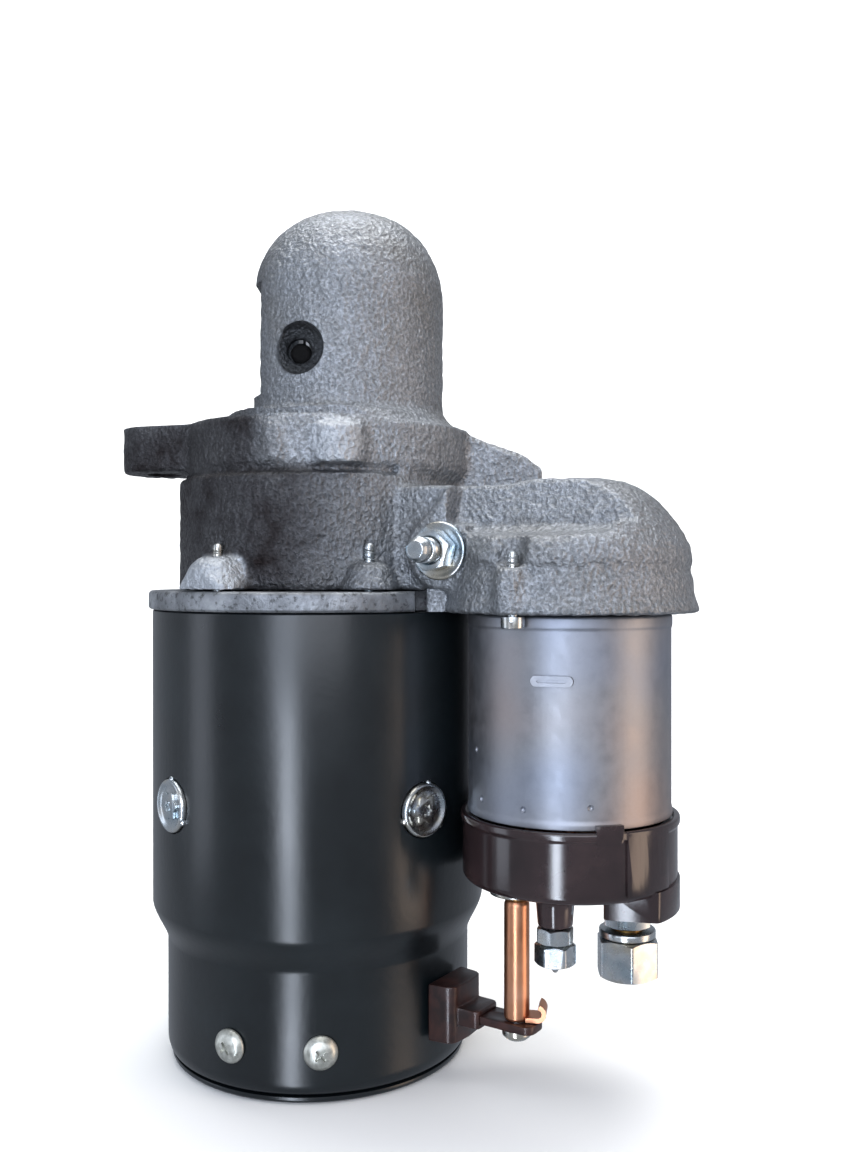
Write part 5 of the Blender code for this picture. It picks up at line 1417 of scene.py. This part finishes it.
def makeDrive():
    # sleeve with the fork's groove, and the clutch shell above it with a rolled seam
    d = driveSleeve
    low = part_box("drive_clutch")[0]
    groove = low.z + d["forkHeight"]
    under, over, top = groove - d["forkGap"], groove + d["forkGap"], groove + d["tubeStart"]
    outline = [(d["bore"], low.z, 0.0003), (d["collar"], low.z, 0.0005), (d["collar"], under, 0.0003),
               (d["neck"], under, 0.0004), (d["neck"], over, 0.0004), (d["collar"], over, 0.0003),
               (d["collar"], top, 0.0005), (d["tube"], top, 0.0004), (d["tube"], 0.1855, 0.0006),
               (0.0182, 0.1855, 0.0006), (d["shell"], 0.1870, 0.0006), (d["shell"], 0.1905, 0.0002),
               (d["seam"], 0.1909, 0.0002), (d["seam"], 0.1915, 0.0002), (d["shell"], 0.1919, 0.0002),
               (d["shell"], 0.2048, 0.0006), (0.0186, 0.2060, 0.0005), (d["bore"], 0.2060, 0.0003)]
    piece = finishMesh("driveSleeve", softLathe(outline, 96, 3), steel)
    settle(piece, "drive", ["drive_clutch"])


def makeShaft():
    # turned shaft with its splines; the drive slides on them
    low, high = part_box("armature_shaft")
    ends, middle, nose = 0.00635, 0.0080, 0.0066
    outline = [(0, low.z, 0), (ends - 0.0006, low.z, 0.0003), (ends, low.z + 0.0008, 0),
               (ends, 0.0200, 0.0003),
               (middle, 0.0203, 0.0003), (middle, 0.1478, 0.0003), (nose, 0.1482, 0.0003), (nose, 0.2460, 0.0003),
               (ends, 0.2464, 0.0003), (ends, high.z - 0.0010, 0), (ends - 0.0008, high.z, 0.0003), (0, high.z, 0)]
    shaft = finishMesh("armatureShaft", softLathe(outline, 64), steel)
    spline = finishMesh("spline", prism(softCorners([(0.0060, -0.0013, 0), (0.0074, -0.0010, 0.0002),
                                                     (0.0074, 0.0010, 0.0002),
                                                     (0.0060, 0.0013, 0)], 2), 0.1500, 0.2450), steel)
    growFrom(spline, ringTree, count=10, startAngle=0.0, radius=0.0, height=0.0, tilt=0.0, spinSpread=0.0,
             seed=1,
             finish=steel)
    whole = joinPieces("armatureShaft", [shaft, spline], steel)
    settle(whole, "armature", ["armature_shaft"])
    ring = [(ends + 0.0003, 0.2468, 0.0002), (0.0115, 0.2468, 0.0008), (0.0115, 0.2508, 0.0008),
            (0.0080, 0.2508, 0.0004),
            (ends + 0.0003, 0.2500, 0.0002)]
    stop = finishMesh("pinionStopRing", softLathe(ring, 72), steel)
    settle(stop, "armature", ["pinion_stop_ring"])


def makeCommutator():
    # twenty eight copper bars with mica between them
    low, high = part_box("commutator")
    half = math.pi / 28 * 0.90
    bar = [(0.0150, -0.0150 * half, 0), (0.0224, -0.0224 * half, 0.0002), (0.0224, 0.0224 * half, 0.0002),
           (0.0150, 0.0150 * half, 0)]
    bars = finishMesh("bar", prism(softCorners(bar, 2), low.z, high.z - 0.0040), copper)
    riser = [(0.0150, -0.0150 * half, 0), (0.0254, -0.0254 * half, 0.0002),
             (0.0254, 0.0254 * half, 0.0002), (0.0150, 0.0150 * half, 0)]
    booleanWith(bars, [prism(softCorners(riser, 2), high.z - 0.0042, high.z)], "UNION")
    growFrom(bars, ringTree, count=28, startAngle=0.0, radius=0.0, height=0.0, tilt=0.0, spinSpread=0.0,
             seed=1, finish=copper)
    core = finishMesh("commutatorCore",
                      softLathe([(0.0083, low.z + 0.0004, 0), (0.0218, low.z + 0.0004, 0),
                                                   (0.0218, high.z - 0.0004, 0), (0.0083, high.z - 0.0004, 0)], 72), phenolic)
    settle(core, "armature")
    settle(bars, "armature", ["commutator"])


def makeBrushSprings():
    # flat coil springs that press the four brushes on the commutator
    for i in range(4):
        coil = finishMesh("brushSpring%d" % (i + 1),
                          softLathe([(0, 0, 0), (0.0010, 0, 0), (0.0010, 0.0050, 0), (0, 0.0050, 0)],
                                    12), steel)
        growFrom(coil, helixTree, turns=4.0, radius=0.0030, low=0.0006, height=0.0038, wire=0.00045,
                 sides=8, steps=24,
                 taper=0.02, finish=steel)
        turn = math.radians(frameSizes["poleTurn"] + 90 * i)
        settle(coil, "root", (), outwards(turn, 0.0295) @ shift(0, 0, 0.0400))


returnSpring = {"radius": 0.0124, "wire": 0.0007, "low": 0.1506, "high": 0.1632, "turns": 4.0,
                "travel": 0.0097}


def makeReturnSpring():
    # stands between the can and the plunger's collar
    r = returnSpring
    coil = finishMesh("returnSpring", solidLathe(r["radius"], r["low"], r["high"], 12), steel)
    growFrom(coil, helixTree, turns=r["turns"], radius=r["radius"], low=r["low"] + r["wire"],
             height=r["high"] - r["low"] - 2 * r["wire"], wire=r["wire"], sides=8, steps=32, taper=0.02, finish=steel)
    settle(coil, "root", ["return_spring"], solenoidPlace)
    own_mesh(coil)


makePinion()
makeDrive()
makeShaft()
makeCommutator()
makeBrushSprings()
makeReturnSpring()
print("drive and armature made")


def dressNodes():
    # finishes for the parts that keep their own shape
    finishes = {"cast_iron": castIron, "black_paint": blackPaint, "machined_plate": machinedIron,
                "zinc_plate": zinc,
                "bare_steel": steel, "solenoid_zinc": canZinc, "copper": copper, "wound_copper": winding,
                "bearing_bronze": bronze, "black_phenolic": phenolic, "brush_carbon": carbon}
    for row in frame["record"]["subparts"]:
        node = nodeOf[row["node"]]
        node.data.materials.clear()
        node.data.materials.append(finishes[row["material_slot"]])


dressNodes()
